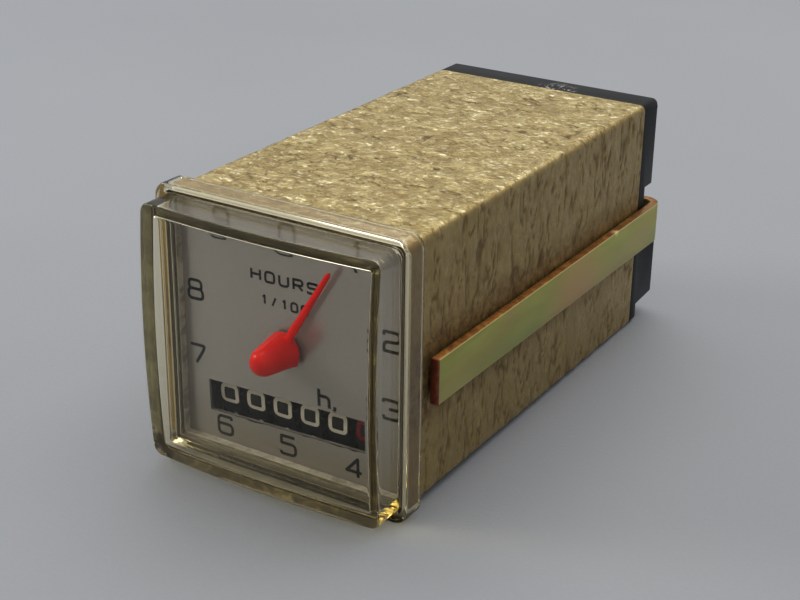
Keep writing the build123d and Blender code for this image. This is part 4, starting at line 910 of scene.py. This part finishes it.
BLADE_ANGLE = math.radians(31.3)
BLADE_ROOT = 2.2
BLADE_LENGTH = 18.3
BLADE_DEPTH = -3.28
BLADE_HALF = 0.80  # half its width at the root
BLADE_TAPER = 0.37  # how much narrower that is at the tip
BLADE_FRONT = 0.33
BLADE_BACK = 0.2
BLADE_STEPS = 12
BLADE_SHARES = (0.0, 0.06, 0.12, 0.2, 0.3, 0.4, 0.5, 0.6, 0.7, 0.8, 0.88, 0.94, 0.975, 0.99, 1.0)
BLADE_ROUND = 0.95  # share of the blade where its rounded tip starts


def make_hub():
    """Hollow round-nosed hub with a small nib at its foot."""
    rings = []
    for radius, depth in ((ARBOR_HOLE, ARBOR_END), (ARBOR_HOLE, HUB_BACK), *HUB):
        ring = []
        for step in range(HUB_STEPS):
            angle = 2 * math.pi * step / HUB_STEPS
            aside = (angle - NIB_ANGLE + math.pi) % (2 * math.pi) - math.pi
            nib = NIB_HEIGHT * math.exp(-(aside / NIB_WIDTH) ** 2)
            reach = radius + (nib * smooth_step(depth, -3.0, -2.4) if radius > NIB_FROM else 0.0)
            ring.append((reach * math.cos(angle), depth, reach * math.sin(angle)))
        rings.append(ring)
    points, faces = skin(rings, False)
    last = len(points) - HUB_STEPS
    fan(points, faces, 0, HUB_STEPS, (0, ARBOR_END, 0))
    fan(points, faces, last, HUB_STEPS, (0, HUB_TIP, 0))
    piece("pointer_hub", points, faces, RED, "pointer_group")


def make_blade():
    """Tapering blade with slightly uneven edges and a rounded tip."""
    along = Vector((math.sin(BLADE_ANGLE), math.cos(BLADE_ANGLE)))
    across = Vector((along.y, -along.x))
    rings = []
    for share in BLADE_SHARES:
        reach = BLADE_ROOT + (BLADE_LENGTH - BLADE_ROOT) * share
        half = BLADE_HALF - BLADE_TAPER * share
        if share >= BLADE_ROUND:
            half *= math.sqrt(max(0.02, 1 - ((share - BLADE_ROUND) / (1 - BLADE_ROUND)) ** 2))
        half *= 1 + 0.05 * noise.noise(Vector((reach * 0.8, 5.0, 2.0)))
        ring = []
        for step in range(BLADE_STEPS):
            angle = 2 * math.pi * step / BLADE_STEPS
            spot = along * reach + across * half * math.cos(angle)
            thick = BLADE_FRONT if math.sin(angle) > 0 else BLADE_BACK
            ring.append((spot.x, BLADE_DEPTH - thick * math.sin(angle), spot.y))
        rings.append(ring)
    points, faces = skin(rings, False)
    last = len(points) - BLADE_STEPS
    root = along * BLADE_ROOT
    tip = along * (BLADE_LENGTH + 0.01)
    fan(points, faces, 0, BLADE_STEPS, (root.x, BLADE_DEPTH, root.y))
    fan(points, faces, last, BLADE_STEPS, (tip.x, BLADE_DEPTH, tip.y))
    made = piece("pointer_blade", points, faces, RED, "pointer_group")
    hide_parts("pointer")


make_lens()
make_ring()
make_joint()
make_case()
make_dial_print()
make_digits()
make_hub()
make_blade()
soft_copy("rear_block", "rear_block_moulding", 0.22, 3, BLOCK, "housing")
soft_copy("clamp_bracket", "clamp_strap", 0.18, 2, ZINC, "clamp")
soft_copy("clamp_screw", "clamp_screw_turned", 0.15, 2, SLOT_MATERIALS["plated_steel"], "screw")
soft_copy("rear_screws", "rear_screws_turned", 0.12, 2, SLOT_MATERIALS["plated_steel"], "housing")
soft_copy("terminal_blades", "terminal_tabs", 0.06, 1, SLOT_MATERIALS["tinned_brass"], "housing")


# ---------------------------------------------------------------- floor, lights, camera

def floor_material():
    """Pale blue-grey cloth with a barely visible weave."""
    recipe = Recipe("floor_cloth")
    cloud = recipe.noise(6.0, 3.0, 0.5)
    weave = recipe.noise(1500.0, 2.0, 0.5)
    base = recipe.ramp(cloud, (0.3, (0.235, 0.245, 0.262)), (0.7, (0.26, 0.27, 0.288)))
    return recipe.shade(color=base, rough=recipe.ramp(weave, (0.3, 0.55), (0.7, 0.7)),
                        normal=recipe.bump(weave, 0.3, 0.0001), specular=0.3)


FLOOR_HEIGHT = -0.02403
FLOOR_TILT = math.radians(0.951)
FLOOR_REACH = 6.0
FLOOR_CELLS = 24


def make_floor():
    """A large sheet, tilted because the meter rests on its bezel and the rear of its case."""
    shell = bmesh.new()
    bmesh.ops.create_grid(shell, x_segments=FLOOR_CELLS, y_segments=FLOOR_CELLS, size=FLOOR_REACH)
    mesh = bpy.data.meshes.new("floor")
    shell.to_mesh(mesh)
    shell.free()
    made = bpy.data.objects.new("floor", mesh)
    made.location = (0, 0, FLOOR_HEIGHT)
    made.rotation_euler = (FLOOR_TILT, 0, 0)
    scene.collection.objects.link(made)
    mesh.materials.append(floor_material())


CENTRE = (0.0, 0.04, 0.0)
ROOM_STRENGTH = 0.73


def aim(thing, target):
    thing.rotation_mode = "QUATERNION"
    thing.rotation_quaternion = (Vector(target) - thing.location).to_track_quat("-Z", "Y")


def softbox(name, place, size, power, colour):
    """A rectangular area light that faces the meter."""
    lamp = bpy.data.lights.new(name, "AREA")
    lamp.shape = "RECTANGLE"
    lamp.size, lamp.size_y = size
    lamp.energy = power
    lamp.color = colour
    made = bpy.data.objects.new(name, lamp)
    made.location = place
    scene.collection.objects.link(made)
    aim(made, CENTRE)


def make_room():
    """Even pale surroundings, dimmer towards the horizon."""
    world = bpy.data.worlds.new("room")
    world.use_nodes = True
    tree = world.node_tree
    height = tree.nodes.new("ShaderNodeSeparateXYZ")
    tree.links.new(tree.nodes.new("ShaderNodeTexCoord").outputs["Generated"], height.inputs[0])
    shade = tree.nodes.new("ShaderNodeValToRGB")
    stops = shade.color_ramp.elements
    stops[0].position, stops[0].color = 0.05, (0.50, 0.52, 0.55, 1.0)
    stops[1].position, stops[1].color = 0.75, (1.0, 1.0, 1.0, 1.0)
    tree.links.new(height.outputs["Z"], shade.inputs["Fac"])
    background = tree.nodes["Background"]
    tree.links.new(shade.outputs["Color"], background.inputs["Color"])
    background.inputs["Strength"].default_value = ROOM_STRENGTH
    scene.world = world


make_floor()
softbox("overhead", place=(-0.02, 0.36, 0.75), size=(1.0, 0.7), power=5.7, colour=(1.0, 0.98, 0.95))
softbox("left_fill", place=(-0.85, -0.36, 0.50), size=(0.34, 0.26), power=3.9, colour=(0.97, 0.98, 1.0))
make_room()

CAMERA_PLACE = Vector((132.243, -181.104, 107.367)) * MM
CAMERA_AHEAD = Vector((-0.48227, 0.77577, -0.40693)).normalized()
CAMERA_RIGHT = Vector((0.84649, 0.53228, 0.01154)).normalized()
CAMERA_LENS = 70.0


def make_camera():
    camera = bpy.data.objects.new("camera", bpy.data.cameras.new("camera"))
    camera.data.lens = CAMERA_LENS
    camera.data.sensor_width = 36.0
    camera.data.clip_start = 0.01
    camera.data.clip_end = 30.0
    up = CAMERA_RIGHT.cross(CAMERA_AHEAD)
    turn = Matrix((CAMERA_RIGHT, up, -CAMERA_AHEAD)).transposed()
    camera.matrix_world = Matrix.Translation(CAMERA_PLACE) @ turn.to_4x4()
    scene.collection.objects.link(camera)
    scene.camera = camera


make_camera()
scene.view_settings.view_transform = "Standard"
scene.cycles.max_bounces = 24
scene.cycles.transmission_bounces = 20
scene.cycles.glossy_bounces = 12
scene.cycles.transparent_max_bounces = 20
